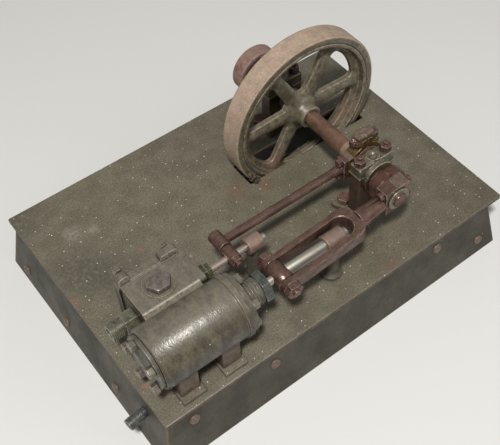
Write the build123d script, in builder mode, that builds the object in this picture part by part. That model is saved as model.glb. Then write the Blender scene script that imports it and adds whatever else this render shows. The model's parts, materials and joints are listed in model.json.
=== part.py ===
"""Small horizontal steam engine on a sheet-steel box base.

The engine lies along X with its cylinder at -X and its crankshaft at +X, and the shaft runs along Y.
The floor is Z = 0, and the origin is on the floor under the middle of the whole engine.
"""
from build123d import *
from math import asin, cos, degrees, radians, sin, sqrt
import os

os.makedirs("parts", exist_ok=True)

# Box base
plate_past_shaft = 84.7
plate_width = 213.9
plate_thickness = 3.2
plate_corner = 1.2
plate_edge = 0.3
base_height = 45.0
wall_sheet = 1.6
wall_flare = 8.0
wall_inset_left = 0.6
wall_inset_right = 13.0
wall_inset_front = 0.6
wall_inset_rear = 10.0

# Running and seating clearances
running_gap = 0.08
part_gap = 0.3

# Where the cylinder line and the valve line lie from the plate's front edge, and their height
cylinder_line = 26.5
valve_line = 58.5
shaft_above_plate = 38.0

# Cylinder
barrel_start = 10.0
barrel_length = 66.0
barrel_radius = 22.0
barrel_edge = 1.0
bore_radius = 13.0
end_flange_radius = 23.0
end_flange_length = 5.0
end_flange_edge = 0.8
rear_cover_radius = 19.5
rear_cover_thickness = 3.5
rear_cover_boss_radius = 11.0
rear_cover_boss_rise = 1.8
cover_edge = 0.8
front_cover_radius = 21.5
front_cover_thickness = 4.0
cover_bolt_count = 5
cover_bolt_circle = 16.8
cover_bolt_flats = 6.8
cover_bolt_head = 4.2
cover_bolt_turn = 70.0

# Steam chest, cast with the cylinder on its far side
chest_inset_left = 10.7
chest_inset_right = 12.5
chest_near = 18.0
chest_far = 45.5
chest_rise = 18.0
chest_drop = 20.0
chest_edge = 0.5
chest_far_edge = 0.8
chest_blend = 1.8
chest_step_length = 5.5
chest_step_drop = 3.5
chest_step_inset = 1.5
chest_cover_overhang = 1.4
chest_cover_thickness = 6.0
chest_cover_corner = 3.0
left_ear_along_chest = 3.9
left_ear_width = 8.0
left_ear_rise = 8.6
right_ear_along_chest = 37.4
right_ear_width = 13.4
right_ear_rise = 6.4
ear_corner = 3.4
ear_bolt_drop = 3.8
chest_cover_bolt_inset = 4.5
chest_cover_bolt_flats = 5.5
chest_cover_bolt_head = 3.2
plug_along_chest = 20.3
plug_ring_radius = 10.8
plug_ring_rise = 0.8
plug_flats = 15.0
plug_height = 4.4
inlet_drop = 1.2
head_crown = 0.9
inlet_nut_flats = 14.5
inlet_nut_length = 9.5
inlet_stub_radius = 6.0
inlet_stub_length = 10.0
inlet_bore_radius = 3.8
inlet_bore_floor = 1.0

# Cylinder feet
foot_length = 17.5
foot_width = 15.5
foot_thickness = 3.0
foot_front = 21.7
foot_inset_left = 7.5
foot_inset_right = 8.0
leg_length = 14.5
leg_width = 9.0
leg_inset = 1.5
leg_corner = 0.8

# Piston, piston rod and its guide
piston_length = 16.0
rod_radius = 3.0
rod_edge = 0.5
gland_boss_radius = 10.0
gland_boss_root = 11.0
gland_boss_length = 13.5
gland_nut_flats = 21.0
gland_nut_length = 6.0
guide_from_crosshead = 13.6
guide_length = 16.2
guide_radius = 6.5
guide_edge = 0.6
rod_past_guide = 1.2
post_radius = 4.4
post_root_radius = 5.6
post_foot_radius = 7.5
post_foot_thickness = 2.0
post_blend = 2.5

# Crosshead
crosshead_radius = 6.8
crosshead_pin_radius = 3.2
crosshead_pin_depth = 4.2
crosshead_edge = 0.7
crosshead_to_gland = 2.5
crosshead_nut_flats = 11.4
crosshead_nut_length = 4.6
crosshead_stud_radius = 2.8
crosshead_stud_rise = 1.6

# Connecting rod
stroke = 20.6
crank_turn = 135.0
connecting_rod_length = 101.0
fork_gap = 17.0
prong_thickness = 4.5
prong_depth = 11.0
prong_edge = 0.5
prong_eye_radius = 6.2
fork_clear = 8.2
fork_end_thickness = 6.0
fork_shoulder = 7.5
shank_radius = 4.4
shank_root_radius = 5.0
shank_in_fork = 2.0
big_end_half_length = 10.8
big_end_half_height = 10.8
big_end_near = 4.2
big_end_far = 6.2
big_end_corner = 1.2
big_end_bolt_spread = 7.6
big_end_nut_flats = 5.6
big_end_nut_length = 3.2
crankpin_radius = 4.0
crankpin_head_radius = 7.5
crankpin_head_length = 2.2
crankpin_washer_radius = 9.0
crankpin_washer_thickness = 1.4
crankpin_edge = 0.6

# Crank disc and shaft
crank_disc_radius = 15.8
crank_disc_edge = 0.8
crank_disc_thickness = 7.0
crank_disc_offset = 10.6
crank_web_radius = 8.4
crank_web_rise = 1.8
shaft_radius = 6.2
shaft_end_offset = 176.0
shaft_edge = 0.6
shaft_collar_radius = 8.4
shaft_collar_length = 2.0
shaft_taper_start = 60.0

# Main bearing and outboard bearing
main_bearing_offset = 31.0
outboard_bearing_offset = 136.0
bearing_half_width = 5.4
bearing_column_half_length = 15.6
bearing_foot_half_length = 22.6
bearing_foot_reach = 12.0
bearing_foot_start = 6.8
bearing_foot_taper = 18.0
bearing_foot_thickness = 3.6
bearing_foot_corner = 3.0
bearing_corner = 0.8
bearing_split = 42.6
bearing_shim = 1.4
bearing_shim_margin = 0.4
bearing_cap_top = 52.4
bearing_cap_half_length = 16.2
bearing_cap_edge = 0.7
bearing_boss_radius = 13.4
bearing_boss_rise = 3.4
bearing_stud_spread = 12.2
bearing_stud_radius = 2.0
bearing_nut_flats = 7.8
bearing_nut_height = 5.0
bearing_stud_rise = 3.0
oil_cup_radius = 5.0
oil_cup_inner = 3.6
oil_cup_rise = 1.4
oil_hole_radius = 1.6
foot_bolt_spread = 13.6
foot_nut_flats = 7.6
foot_nut_height = 3.6

# Eccentric and valve gear
eccentric_lead = -110.0
eccentricity = 3.6
sheave_radius = 11.5
strap_offset = 45.0
strap_width = 9.0
strap_radius = 15.4
strap_lug_height = 20.5
strap_lug_half_length = 5.2
strap_lug_corner = 2.0
strap_bolt_height = 17.4
strap_bolt_flats = 5.6
strap_bolt_head = 3.4
strap_split_gap = 0.6
sheave_hub_radius = 9.0
sheave_hub_length = 8.5
sheave_ring_radius = 9.6
sheave_ring_length = 1.4
strap_pad_reach = 16.4
rod_flange_thickness = 4.2
rod_flange_half_height = 9.5
rod_flange_corner = 1.2
rod_flange_bolt_height = 6.8
eccentric_rod_radius = 3.2
eccentric_rod_root = 3.9
eccentric_rod_taper = 9.0
valve_rod_radius = 2.6
valve_crosshead_clear = 6.1
valve_crosshead_radius = 5.0
valve_crosshead_edge = 0.8
valve_pin_nut_flats = 7.6
valve_pin_nut_length = 2.6
valve_pin_radius = 2.2
valve_pin_rise = 1.8
valve_crosshead_near = 5.0
valve_crosshead_far = 6.6
eye_length = 14.4
valve_gland_boss_radius = 7.2
valve_gland_boss_length = 6.0
valve_gland_nut_flats = 12.5
valve_gland_nut_length = 5.4
valve_lock_nut_flats = 10.6
valve_lock_nut_length = 3.6
valve_guide_from_pin = 11.5
valve_guide_length = 12.0
valve_rod_past_guide = 4.0
valve_rod_in_chest = 16.0

# Flywheel and drive pulley
wheel_offset = 113.05
wheel_radius = 66.5
wheel_width = 17.9
rim_edge = 1.2
rim_lip_radius = 60.5
rim_groove_width = 1.0
rim_groove_depth = 1.4
rim_inner_radius = 56.0
rim_draft = 1.6
web_outer_radius = 51.5
web_thickness = 8.4
web_corner = 4.5
web_root_corner = 2.5
spoke_count = 6
spoke_root_width = 13.0
spoke_tip_width = 9.5
spoke_chamfer_side = 3.2
spoke_chamfer_face = 2.2
window_inner_radius = 17.0
wheel_hub_radius = 9.4
wheel_hub_root = 13.0
wheel_hub_width = 28.0
wheel_hub_edge = 0.8
slot_clearance = 2.5
pulley_offset = 167.5
pulley_radius = 20.0
pulley_width = 12.0
pulley_edge = 0.8
pulley_recess = 2.0
pulley_rim = 3.5
pulley_hub_radius = 10.5

# Exhaust pipe
exhaust_radius = 3.4
exhaust_bore_radius = 2.4
exhaust_drop = 17.0
exhaust_bend_radius = 8.0
exhaust_reach = 15.6
exhaust_splay = 8.5
exhaust_tip_offset = 2.05
exhaust_stub_radius = 4.3
exhaust_stub_length = 11.5
exhaust_under_cylinder = 34.0

# Distances along the engine, from the plate's left edge
crank_radius = stroke / 2
barrel_end = barrel_start + barrel_length
gland_start = barrel_end + front_cover_thickness + gland_boss_length
crosshead_left_limit = gland_start + gland_nut_length + crosshead_to_gland + crosshead_radius
guide_start = crosshead_left_limit + stroke + crosshead_radius + guide_from_crosshead
shaft_from_left = crosshead_left_limit + connecting_rod_length + crank_radius
plate_length = shaft_from_left + plate_past_shaft
chest_start = barrel_start + chest_inset_left
chest_end = barrel_end - chest_inset_right
foot_starts = (barrel_start + foot_inset_left, barrel_end - foot_inset_right - foot_length)

eccentric_turn = crank_turn + eccentric_lead
valve_nut_start = chest_end + valve_gland_boss_length
valve_nut_end = valve_nut_start + valve_gland_nut_length + valve_lock_nut_length
valve_left_reach = eccentricity * (1 + cos(radians(eccentric_turn)))
valve_crosshead_at = valve_nut_end + valve_crosshead_clear + valve_crosshead_radius + valve_left_reach
valve_guide_start = valve_crosshead_at + valve_guide_from_pin

# Distances along the connecting rod, from the crosshead
fork_arch_end = crosshead_radius + guide_from_crosshead + guide_length + stroke + fork_clear
fork_end = fork_arch_end + fork_end_thickness
fork_half_width = fork_gap / 2 + prong_thickness
big_end_start = connecting_rod_length - big_end_half_length
big_end_finish = connecting_rod_length + big_end_half_length

# Places worked out from the sizes above
front_reach = wall_flare - wall_inset_front
left_reach = exhaust_reach + exhaust_stub_radius * sin(radians(exhaust_splay))
plate_left = (left_reach - plate_length) / 2
plate_right = plate_left + plate_length
plate_front = (front_reach - plate_width) / 2
plate_rear = plate_front + plate_width
plate_middle_x = (plate_left + plate_right) / 2
plate_middle_y = (plate_front + plate_rear) / 2
plate_underside = base_height - plate_thickness
engine_y = plate_front + cylinder_line
valve_y = plate_front + valve_line
shaft_x = plate_left + shaft_from_left
shaft_z = base_height + shaft_above_plate

crank_rise = crank_radius * sin(radians(crank_turn))
crankpin_x = shaft_x + crank_radius * cos(radians(crank_turn))
crankpin_z = shaft_z + crank_rise
rod_tilt = degrees(asin(crank_rise / connecting_rod_length))
crosshead_x = crankpin_x - connecting_rod_length * cos(radians(rod_tilt))
sheave_x = shaft_x + eccentricity * cos(radians(eccentric_turn))
sheave_z = shaft_z + eccentricity * sin(radians(eccentric_turn))

barrel_left = plate_left + barrel_start
barrel_right = plate_left + barrel_end
front_cover_face = barrel_right + front_cover_thickness
chest_left = plate_left + chest_start
chest_right = plate_left + chest_end
chest_top = shaft_z + chest_rise
chest_bottom = shaft_z - chest_drop
chest_rear = engine_y + chest_far
chest_middle_z = (chest_top + chest_bottom) / 2
valve_pin_x = plate_left + valve_crosshead_at

crank_disc_front = engine_y + crank_disc_offset
main_bearing_y = engine_y + main_bearing_offset
outboard_bearing_y = engine_y + outboard_bearing_offset
strap_y = engine_y + strap_offset
strap_near = strap_y - strap_width / 2
wheel_y = engine_y + wheel_offset
pulley_y = engine_y + pulley_offset


def save(piece, name):
    """Label a finished piece and write it to its own file."""
    piece.label = name
    export_step(piece, f"parts/{name}.step")


def across_rod(x, y):
    """Upright plane that faces +X, with its middle on a rod line at the shaft's height."""
    return Plane(origin=(x, y, shaft_z), x_dir=(0, 1, 0), z_dir=(1, 0, 0))


def across_shaft(y, x=shaft_x, z=shaft_z):
    """Upright plane that faces the front, with its middle on the shaft or at another place."""
    return Plane(origin=(x, y, z), x_dir=(1, 0, 0), z_dir=(0, -1, 0))


def turned(plane, *outline):
    """Round piece about a plane's normal, from its outline of (height, radius) points."""
    upright = Plane(origin=plane.origin, x_dir=plane.z_dir, z_dir=plane.y_dir)
    with BuildPart() as piece:
        with BuildSketch(upright):
            with BuildLine():
                Polyline(*outline, close=True)
            make_face()
        revolve(axis=Axis(plane.origin, plane.z_dir))
    return piece.part


def hexagon(plane, flats, height, bore_radius=0.0, crown=0.0):
    """Hexagon nut or bolt head standing on a plane. A crown takes off its outer corners."""
    corner_radius = flats / 2 / cos(radians(30))
    with BuildPart() as piece:
        with BuildSketch(plane):
            RegularPolygon(corner_radius, 6)
            if bore_radius:
                Circle(bore_radius, mode=Mode.SUBTRACT)
        extrude(amount=height)
        if crown:
            shoulder = height - crown / 2
            rim = ((0, corner_radius), (shoulder, corner_radius), (height, flats / 2))
            add(turned(plane, (0, 0), *rim, (height, 0)), mode=Mode.INTERSECT)
    return piece.part


# Box base: a flat plate on four flared walls of folded sheet
wheel_half_chord = sqrt((wheel_radius + slot_clearance) ** 2 - shaft_above_plate**2)

with BuildPart() as base_plate:
    with BuildSketch(Plane.XY.offset(plate_underside)):
        with Locations((plate_middle_x, plate_middle_y)):
            RectangleRounded(plate_length, plate_width, plate_corner)
        with Locations((shaft_x, wheel_y)):
            Rectangle(2 * wheel_half_chord, wheel_width + 2 * slot_clearance, mode=Mode.SUBTRACT)
    extrude(amount=plate_thickness)
    chamfer(base_plate.faces().sort_by(Axis.Z)[-1].outer_wire().edges(), plate_edge)
save(base_plate.part, "base_plate")

top_left = plate_left + wall_inset_left
top_right = plate_right - wall_inset_right
top_front = plate_front + wall_inset_front
top_rear = plate_rear - wall_inset_rear
top_length = top_right - top_left
top_width = top_rear - top_front
walls_middle = ((top_left + top_right) / 2, (top_front + top_rear) / 2)

with BuildPart() as walls:
    for inward, mode in ((0, Mode.ADD), (wall_sheet, Mode.SUBTRACT)):
        spread = 2 * (wall_flare - inward)
        with BuildSketch(Plane.XY):
            with Locations(walls_middle):
                Rectangle(top_length + spread, top_width + spread)
        with BuildSketch(Plane.XY.offset(plate_underside)):
            with Locations(walls_middle):
                Rectangle(top_length - 2 * inward, top_width - 2 * inward)
        loft(mode=mode)

# Each long wall runs the full length, and the end walls stand between them
front_cut = Plane(
    origin=(0, top_front - wall_flare + wall_sheet, 0),
    x_dir=(1, 0, 0),
    z_dir=(0, -plate_underside, wall_flare),
)
rear_cut = Plane(
    origin=(0, top_rear + wall_flare - wall_sheet, 0),
    x_dir=(1, 0, 0),
    z_dir=(0, plate_underside, wall_flare),
)
middle_cut = Plane(origin=(plate_middle_x, 0, 0), x_dir=(0, 1, 0), z_dir=(-1, 0, 0))

with BuildPart() as front_wall:
    add(walls.part)
    split(bisect_by=front_cut, keep=Keep.TOP)
save(front_wall.part, "front_wall")

with BuildPart() as rear_wall:
    add(walls.part)
    split(bisect_by=rear_cut, keep=Keep.TOP)
save(rear_wall.part, "rear_wall")

with BuildPart() as end_walls:
    add(walls.part)
    split(bisect_by=front_cut, keep=Keep.BOTTOM)
    split(bisect_by=rear_cut, keep=Keep.BOTTOM)

# Exhaust pipe, from under the cylinder out through the left end wall, a little askew
exhaust_line = (cos(radians(exhaust_splay)), sin(radians(exhaust_splay)), 0)
exhaust_tip = (plate_left - exhaust_reach, engine_y - exhaust_tip_offset, base_height - exhaust_drop)
exhaust_mouth = Plane(origin=exhaust_tip, x_dir=(-exhaust_line[1], exhaust_line[0], 0), z_dir=exhaust_line)
exhaust_side = Plane(origin=exhaust_tip, x_dir=exhaust_line, z_dir=(exhaust_line[1], -exhaust_line[0], 0))
exhaust_run = exhaust_reach + exhaust_under_cylinder

with BuildPart() as left_end_wall:
    add(end_walls.part)
    split(bisect_by=middle_cut, keep=Keep.TOP)
    with BuildSketch(exhaust_mouth):
        Circle(exhaust_radius + running_gap)
    extrude(amount=exhaust_run, mode=Mode.SUBTRACT)
save(left_end_wall.part, "left_end_wall")

with BuildPart() as right_end_wall:
    add(end_walls.part)
    split(bisect_by=middle_cut, keep=Keep.BOTTOM)
save(right_end_wall.part, "right_end_wall")

with BuildPart() as exhaust_pipe:
    with BuildLine(exhaust_side) as exhaust_route:
        FilletPolyline(
            (0, 0),
            (exhaust_run, 0),
            (exhaust_run, exhaust_drop - plate_thickness),
            radius=exhaust_bend_radius,
        )
    with BuildSketch(exhaust_mouth):
        Circle(exhaust_radius)
        Circle(exhaust_bore_radius, mode=Mode.SUBTRACT)
    sweep(path=exhaust_route.wires()[0])
    with BuildSketch(exhaust_mouth):
        Circle(exhaust_stub_radius)
        Circle(exhaust_bore_radius, mode=Mode.SUBTRACT)
    extrude(amount=exhaust_stub_length)
save(exhaust_pipe.part, "exhaust_pipe")

# Cylinder casting: the barrel with the steam chest blended into its far side
chest_width = chest_far - chest_near
chest_height = chest_rise + chest_drop
chest_centre = (engine_y + (chest_near + chest_far) / 2, chest_middle_z)
step_width = chest_width - 2 * chest_step_inset
step_height = chest_height - 2 * chest_step_drop
valley_rise = sqrt(barrel_radius**2 - chest_near**2)

with BuildPart() as cylinder:
    with BuildSketch(across_rod(chest_left, engine_y)) as chest_section:
        Circle(barrel_radius)
        with Locations(((chest_near + chest_far) / 2, (chest_rise - chest_drop) / 2)):
            Rectangle(chest_width, chest_height)
        valley = chest_section.vertices().filter_by(lambda v: abs(v.Y - valley_rise) < 0.1)
        fillet(valley.filter_by(lambda v: abs(v.X - chest_near) < 0.1), chest_blend)
        near_corner = chest_section.vertices().filter_by(lambda v: v.Y > chest_rise - 0.1)
        fillet(near_corner.filter_by(lambda v: v.X < chest_near + 0.1), chest_edge)
        fillet(chest_section.vertices().filter_by(lambda v: v.X > chest_far - 0.1), chest_far_edge)
    extrude(amount=chest_end - chest_start)
    add(turned(
        across_rod(barrel_left, engine_y),
        (0, 0),
        (0, barrel_radius - barrel_edge),
        (barrel_edge, barrel_radius),
        (barrel_length - end_flange_length, barrel_radius),
        (barrel_length - end_flange_length, end_flange_radius - end_flange_edge),
        (barrel_length - end_flange_length + end_flange_edge, end_flange_radius),
        (barrel_length - end_flange_edge, end_flange_radius),
        (barrel_length, end_flange_radius - end_flange_edge),
        (barrel_length, 0),
    ))
    with BuildSketch(Plane.YZ.offset(chest_right)):
        with Locations(chest_centre):
            RectangleRounded(step_width, step_height, chest_step_drop)
    extrude(amount=chest_step_length)
    add(turned(
        across_rod(chest_right, valve_y),
        (0, 0),
        (0, valve_gland_boss_radius),
        (valve_gland_boss_length, valve_gland_boss_radius),
        (valve_gland_boss_length, 0),
    ))
    with BuildSketch(Plane.XY.offset(chest_top)):
        with Locations((chest_left + plug_along_chest, valve_y)):
            Circle(plug_ring_radius)
    extrude(amount=plug_ring_rise)
    with BuildSketch(across_rod(barrel_left, engine_y)):
        Circle(bore_radius)
    extrude(amount=barrel_length, mode=Mode.SUBTRACT)
    with BuildSketch(across_rod(chest_right - valve_rod_in_chest, valve_y)):
        Circle(valve_rod_radius + running_gap)
    extrude(amount=valve_rod_in_chest + valve_gland_boss_length, mode=Mode.SUBTRACT)
save(cylinder.part, "cylinder")

# Four feet: a pad on the plate and a leg up to the barrel
with BuildPart() as cylinder_feet:
    for side in (-1, 1):
        for start in foot_starts:
            foot_x = plate_left + start + foot_length / 2
            foot_y = engine_y + side * (foot_front - foot_width / 2)
            leg_y = foot_y - side * leg_inset
            with BuildSketch(Plane.XY.offset(base_height)):
                with Locations((foot_x, foot_y)):
                    Rectangle(foot_length, foot_width)
            extrude(amount=foot_thickness)
            with BuildSketch(Plane.XY.offset(base_height)):
                with Locations((foot_x, leg_y)):
                    RectangleRounded(leg_length, leg_width, leg_corner)
            extrude(amount=shaft_above_plate)
    with BuildSketch(across_rod(plate_left, engine_y)):
        Circle(barrel_radius)
    extrude(amount=2 * barrel_length, mode=Mode.SUBTRACT)
    with BuildSketch(Plane.YZ.offset(chest_left)):
        with Locations(chest_centre):
            Rectangle(chest_width, chest_height)
    extrude(amount=chest_end - chest_start, mode=Mode.SUBTRACT)
save(cylinder_feet.part, "cylinder_feet")

# Round covers close the two ends of the barrel, each held by a ring of bolts
rear_cover = turned(
    Plane(origin=(barrel_left, engine_y, shaft_z), x_dir=(0, 1, 0), z_dir=(-1, 0, 0)),
    (0, 0),
    (0, rear_cover_radius),
    (rear_cover_thickness - cover_edge, rear_cover_radius),
    (rear_cover_thickness, rear_cover_radius - cover_edge),
    (rear_cover_thickness, rear_cover_boss_radius),
    (rear_cover_thickness + rear_cover_boss_rise, rear_cover_boss_radius - rear_cover_boss_rise),
    (rear_cover_thickness + rear_cover_boss_rise, 0),
)
save(rear_cover, "rear_cover")

front_cover = turned(
    across_rod(barrel_right, engine_y),
    (0, rod_radius + running_gap),
    (0, front_cover_radius),
    (front_cover_thickness - cover_edge, front_cover_radius),
    (front_cover_thickness, front_cover_radius - cover_edge),
    (front_cover_thickness, gland_boss_root),
    (front_cover_thickness + gland_boss_root - gland_boss_radius, gland_boss_radius),
    (front_cover_thickness + gland_boss_length, gland_boss_radius),
    (front_cover_thickness + gland_boss_length, rod_radius + running_gap),
)
save(front_cover, "front_cover")

with BuildPart() as cover_bolts:
    for face_x, facing in ((barrel_left - rear_cover_thickness, -1), (front_cover_face, 1)):
        with BuildSketch(across_rod(face_x, engine_y)):
            with PolarLocations(cover_bolt_circle, cover_bolt_count, start_angle=cover_bolt_turn):
                RegularPolygon(cover_bolt_flats / 2, 6, major_radius=False)
        extrude(amount=facing * cover_bolt_head)
save(cover_bolts.part, "cover_bolts")

gland_nut = hexagon(
    across_rod(plate_left + gland_start, engine_y),
    gland_nut_flats,
    gland_nut_length,
    rod_radius + running_gap,
    head_crown,
)
save(gland_nut, "gland_nut")

# Steam chest cover with two bolt ears above the chest, its bolts, the plug, the inlet and the valve gland
cover_left = chest_left - chest_cover_overhang
cover_right = chest_right + chest_cover_overhang
cover_middle_x = (cover_left + cover_right) / 2
ear_bolts = (
    (chest_left + left_ear_along_chest, chest_top + left_ear_rise - ear_bolt_drop),
    (chest_left + right_ear_along_chest, chest_top + right_ear_rise - ear_bolt_drop),
)
low_bolts = (
    (cover_left + chest_cover_bolt_inset, chest_bottom + chest_cover_bolt_inset),
    (cover_right - chest_cover_bolt_inset, chest_bottom + chest_cover_bolt_inset),
)

with BuildPart() as chest_cover:
    with BuildSketch(Plane.XZ.offset(-chest_rear)):
        with Locations((cover_middle_x, chest_middle_z)):
            RectangleRounded(cover_right - cover_left, chest_height, chest_cover_corner)
        for along, width, rise in (
            (left_ear_along_chest, left_ear_width, left_ear_rise),
            (right_ear_along_chest, right_ear_width, right_ear_rise),
        ):
            with Locations((chest_left + along, chest_top)):
                RectangleRounded(width, 2 * rise, ear_corner)
    extrude(amount=-chest_cover_thickness)
save(chest_cover.part, "chest_cover")

with BuildPart() as chest_cover_bolts:
    with BuildSketch(Plane.XZ.offset(-chest_rear - chest_cover_thickness)):
        with Locations(*ear_bolts, *low_bolts):
            RegularPolygon(chest_cover_bolt_flats / 2, 6, major_radius=False)
    extrude(amount=-chest_cover_bolt_head)
save(chest_cover_bolts.part, "chest_cover_bolts")

plug_seat = Plane(origin=(chest_left + plug_along_chest, valve_y, chest_top + plug_ring_rise))
save(hexagon(plug_seat, plug_flats, plug_height, crown=head_crown), "chest_plug")

inlet_seat = Plane(origin=(chest_left, valve_y, shaft_z - inlet_drop), x_dir=(0, 1, 0), z_dir=(-1, 0, 0))

with BuildPart() as steam_inlet:
    add(hexagon(inlet_seat, inlet_nut_flats, inlet_nut_length, crown=head_crown))
    add(turned(
        inlet_seat,
        (inlet_nut_length, 0),
        (inlet_nut_length, inlet_stub_radius),
        (inlet_nut_length + inlet_stub_length, inlet_stub_radius),
        (inlet_nut_length + inlet_stub_length, inlet_bore_radius),
        (inlet_nut_length + inlet_bore_floor, inlet_bore_radius),
        (inlet_nut_length + inlet_bore_floor, 0),
    ))
save(steam_inlet.part, "steam_inlet")

with BuildPart() as valve_gland:
    add(hexagon(
        across_rod(plate_left + valve_nut_start, valve_y),
        valve_gland_nut_flats,
        valve_gland_nut_length,
        valve_rod_radius + running_gap,
    ))
    add(hexagon(
        across_rod(plate_left + valve_nut_end, valve_y),
        valve_lock_nut_flats,
        -valve_lock_nut_length,
        valve_rod_radius + running_gap,
    ))
save(valve_gland.part, "valve_gland")


# Guide bushes on turned posts, for the piston rod and for the valve rod
def guide_bush(start, length, line_y, hole_radius):
    return turned(
        across_rod(plate_left + start, line_y),
        (0, hole_radius + running_gap),
        (0, guide_radius - guide_edge),
        (guide_edge, guide_radius),
        (length - guide_edge, guide_radius),
        (length, guide_radius - guide_edge),
        (length, hole_radius + running_gap),
    )


def guide_post(start, length, line_y):
    post_x = plate_left + start + length / 2
    with BuildPart() as post:
        add(turned(
            Plane(origin=(post_x, line_y, base_height)),
            (0, 0),
            (0, post_foot_radius),
            (post_foot_thickness, post_foot_radius),
            (post_foot_thickness, post_root_radius + post_blend),
            (post_foot_thickness + post_blend, post_root_radius),
            (shaft_above_plate - guide_radius, post_radius),
            (shaft_above_plate, post_radius),
            (shaft_above_plate, 0),
        ))
        with BuildSketch(across_rod(post_x - length, line_y)):
            Circle(guide_radius)
        extrude(amount=2 * length, mode=Mode.SUBTRACT)
    return post.part


with BuildPart() as guide_bushes:
    add(guide_bush(guide_start, guide_length, engine_y, rod_radius))
    add(guide_bush(valve_guide_start, valve_guide_length, valve_y, valve_rod_radius))
save(guide_bushes.part, "guide_bushes")

with BuildPart() as guide_posts:
    add(guide_post(guide_start, guide_length, engine_y))
    add(guide_post(valve_guide_start, valve_guide_length, valve_y))
save(guide_posts.part, "guide_posts")

# Piston, piston rod and crosshead
rod_left = barrel_left + (barrel_length - piston_length) / 2
rod_right = plate_left + guide_start + guide_length + rod_past_guide

piston = turned(
    across_rod(rod_left, engine_y),
    (0, rod_radius),
    (0, bore_radius - running_gap),
    (piston_length, bore_radius - running_gap),
    (piston_length, rod_radius),
)
save(piston, "piston")

piston_rod = turned(
    across_rod(rod_left, engine_y),
    (0, 0),
    (0, rod_radius),
    (rod_right - rod_left - rod_edge, rod_radius),
    (rod_right - rod_left, rod_radius - rod_edge),
    (rod_right - rod_left, 0),
)
save(piston_rod, "piston_rod")

crosshead_half_width = fork_gap / 2 - part_gap
pin_inner = crosshead_half_width - crosshead_pin_depth

with BuildPart() as crosshead:
    for side in (-1, 1):
        add(turned(
            Plane(origin=(crosshead_x, engine_y, shaft_z), x_dir=(1, 0, 0), z_dir=(0, side, 0)),
            (0, 0),
            (0, crosshead_radius),
            (crosshead_half_width - crosshead_edge, crosshead_radius),
            (crosshead_half_width, crosshead_radius - crosshead_edge),
            (crosshead_half_width, crosshead_pin_radius + running_gap),
            (pin_inner - part_gap, crosshead_pin_radius + running_gap),
            (pin_inner - part_gap, 0),
        ))
    with BuildSketch(across_rod(crosshead_x - crosshead_radius, engine_y)):
        Circle(rod_radius)
    extrude(amount=2 * crosshead_radius, mode=Mode.SUBTRACT)
save(crosshead.part, "crosshead")

# Connecting rod, drawn along its own tilted line from the crosshead to the crankpin
along = (cos(radians(rod_tilt)), 0, sin(radians(rod_tilt)))
upward = (-sin(radians(rod_tilt)), 0, cos(radians(rod_tilt)))
rod_side = Plane(origin=(crosshead_x, engine_y, shaft_z), x_dir=along, z_dir=(0, -1, 0))
rod_top = Plane(origin=(crosshead_x, engine_y, shaft_z), x_dir=along, z_dir=upward)
rod_end = Plane(origin=(crosshead_x, engine_y, shaft_z), x_dir=(0, 1, 0), z_dir=along)

with BuildPart() as connecting_rod:
    with BuildSketch(rod_top.offset(-prong_depth / 2)) as fork_plan:
        with Locations((fork_end / 2, 0)):
            Rectangle(fork_end, 2 * fork_half_width)
        fillet(fork_plan.vertices().filter_by(lambda v: v.X > fork_end - 0.1), fork_shoulder)
        with Locations(((fork_arch_end - fork_gap / 2) / 2, 0)):
            Rectangle(fork_arch_end - fork_gap / 2, fork_gap, mode=Mode.SUBTRACT)
        with Locations((fork_arch_end - fork_gap / 2, 0)):
            Circle(fork_gap / 2, mode=Mode.SUBTRACT)
    extrude(amount=prong_depth)
    flat_edges = connecting_rod.faces().filter_by(rod_top).edges()
    chamfer(flat_edges.filter_by(lambda e: e.center().X > crosshead_x + prong_edge), prong_edge)
    for side in (-1, 1):
        with BuildSketch(rod_side.offset(side * (fork_gap + prong_thickness) / 2 - prong_thickness / 2)):
            Circle(prong_eye_radius)
        extrude(amount=prong_thickness)
    with BuildSketch(rod_side.offset(-fork_half_width)):
        Circle(crosshead_pin_radius)
    extrude(amount=2 * fork_half_width, mode=Mode.SUBTRACT)
    add(turned(
        rod_end,
        (fork_end - shank_in_fork, 0),
        (fork_end - shank_in_fork, shank_root_radius),
        (big_end_start, shank_radius),
        (big_end_start, 0),
    ))
    with BuildSketch(rod_side.offset(-big_end_far)):
        with Locations((connecting_rod_length - big_end_half_length / 2, 0)):
            Rectangle(big_end_half_length, 2 * big_end_half_height)
        with Locations((connecting_rod_length, 0)):
            Circle(crankpin_radius, mode=Mode.SUBTRACT)
    extrude(amount=big_end_near + big_end_far)
save(connecting_rod.part, "connecting_rod")

with BuildPart() as big_end_cap:
    with BuildSketch(rod_side.offset(-big_end_far)) as cap_side:
        with Locations((connecting_rod_length + big_end_half_length / 2, 0)):
            Rectangle(big_end_half_length, 2 * big_end_half_height)
        fillet(cap_side.vertices().filter_by(lambda v: v.X > big_end_finish - 0.1), big_end_corner)
        with Locations((connecting_rod_length, 0)):
            Circle(crankpin_radius, mode=Mode.SUBTRACT)
    extrude(amount=big_end_near + big_end_far)
save(big_end_cap.part, "big_end_cap")

with BuildPart() as big_end_bolts:
    for plane, facing in ((rod_end.offset(big_end_start), -1), (rod_end.offset(big_end_finish), 1)):
        with BuildSketch(plane):
            with GridLocations(0, 2 * big_end_bolt_spread, 1, 2):
                RegularPolygon(big_end_nut_flats / 2, 6, major_radius=False)
        extrude(amount=facing * big_end_nut_length)
save(big_end_bolts.part, "big_end_bolts")

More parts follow.
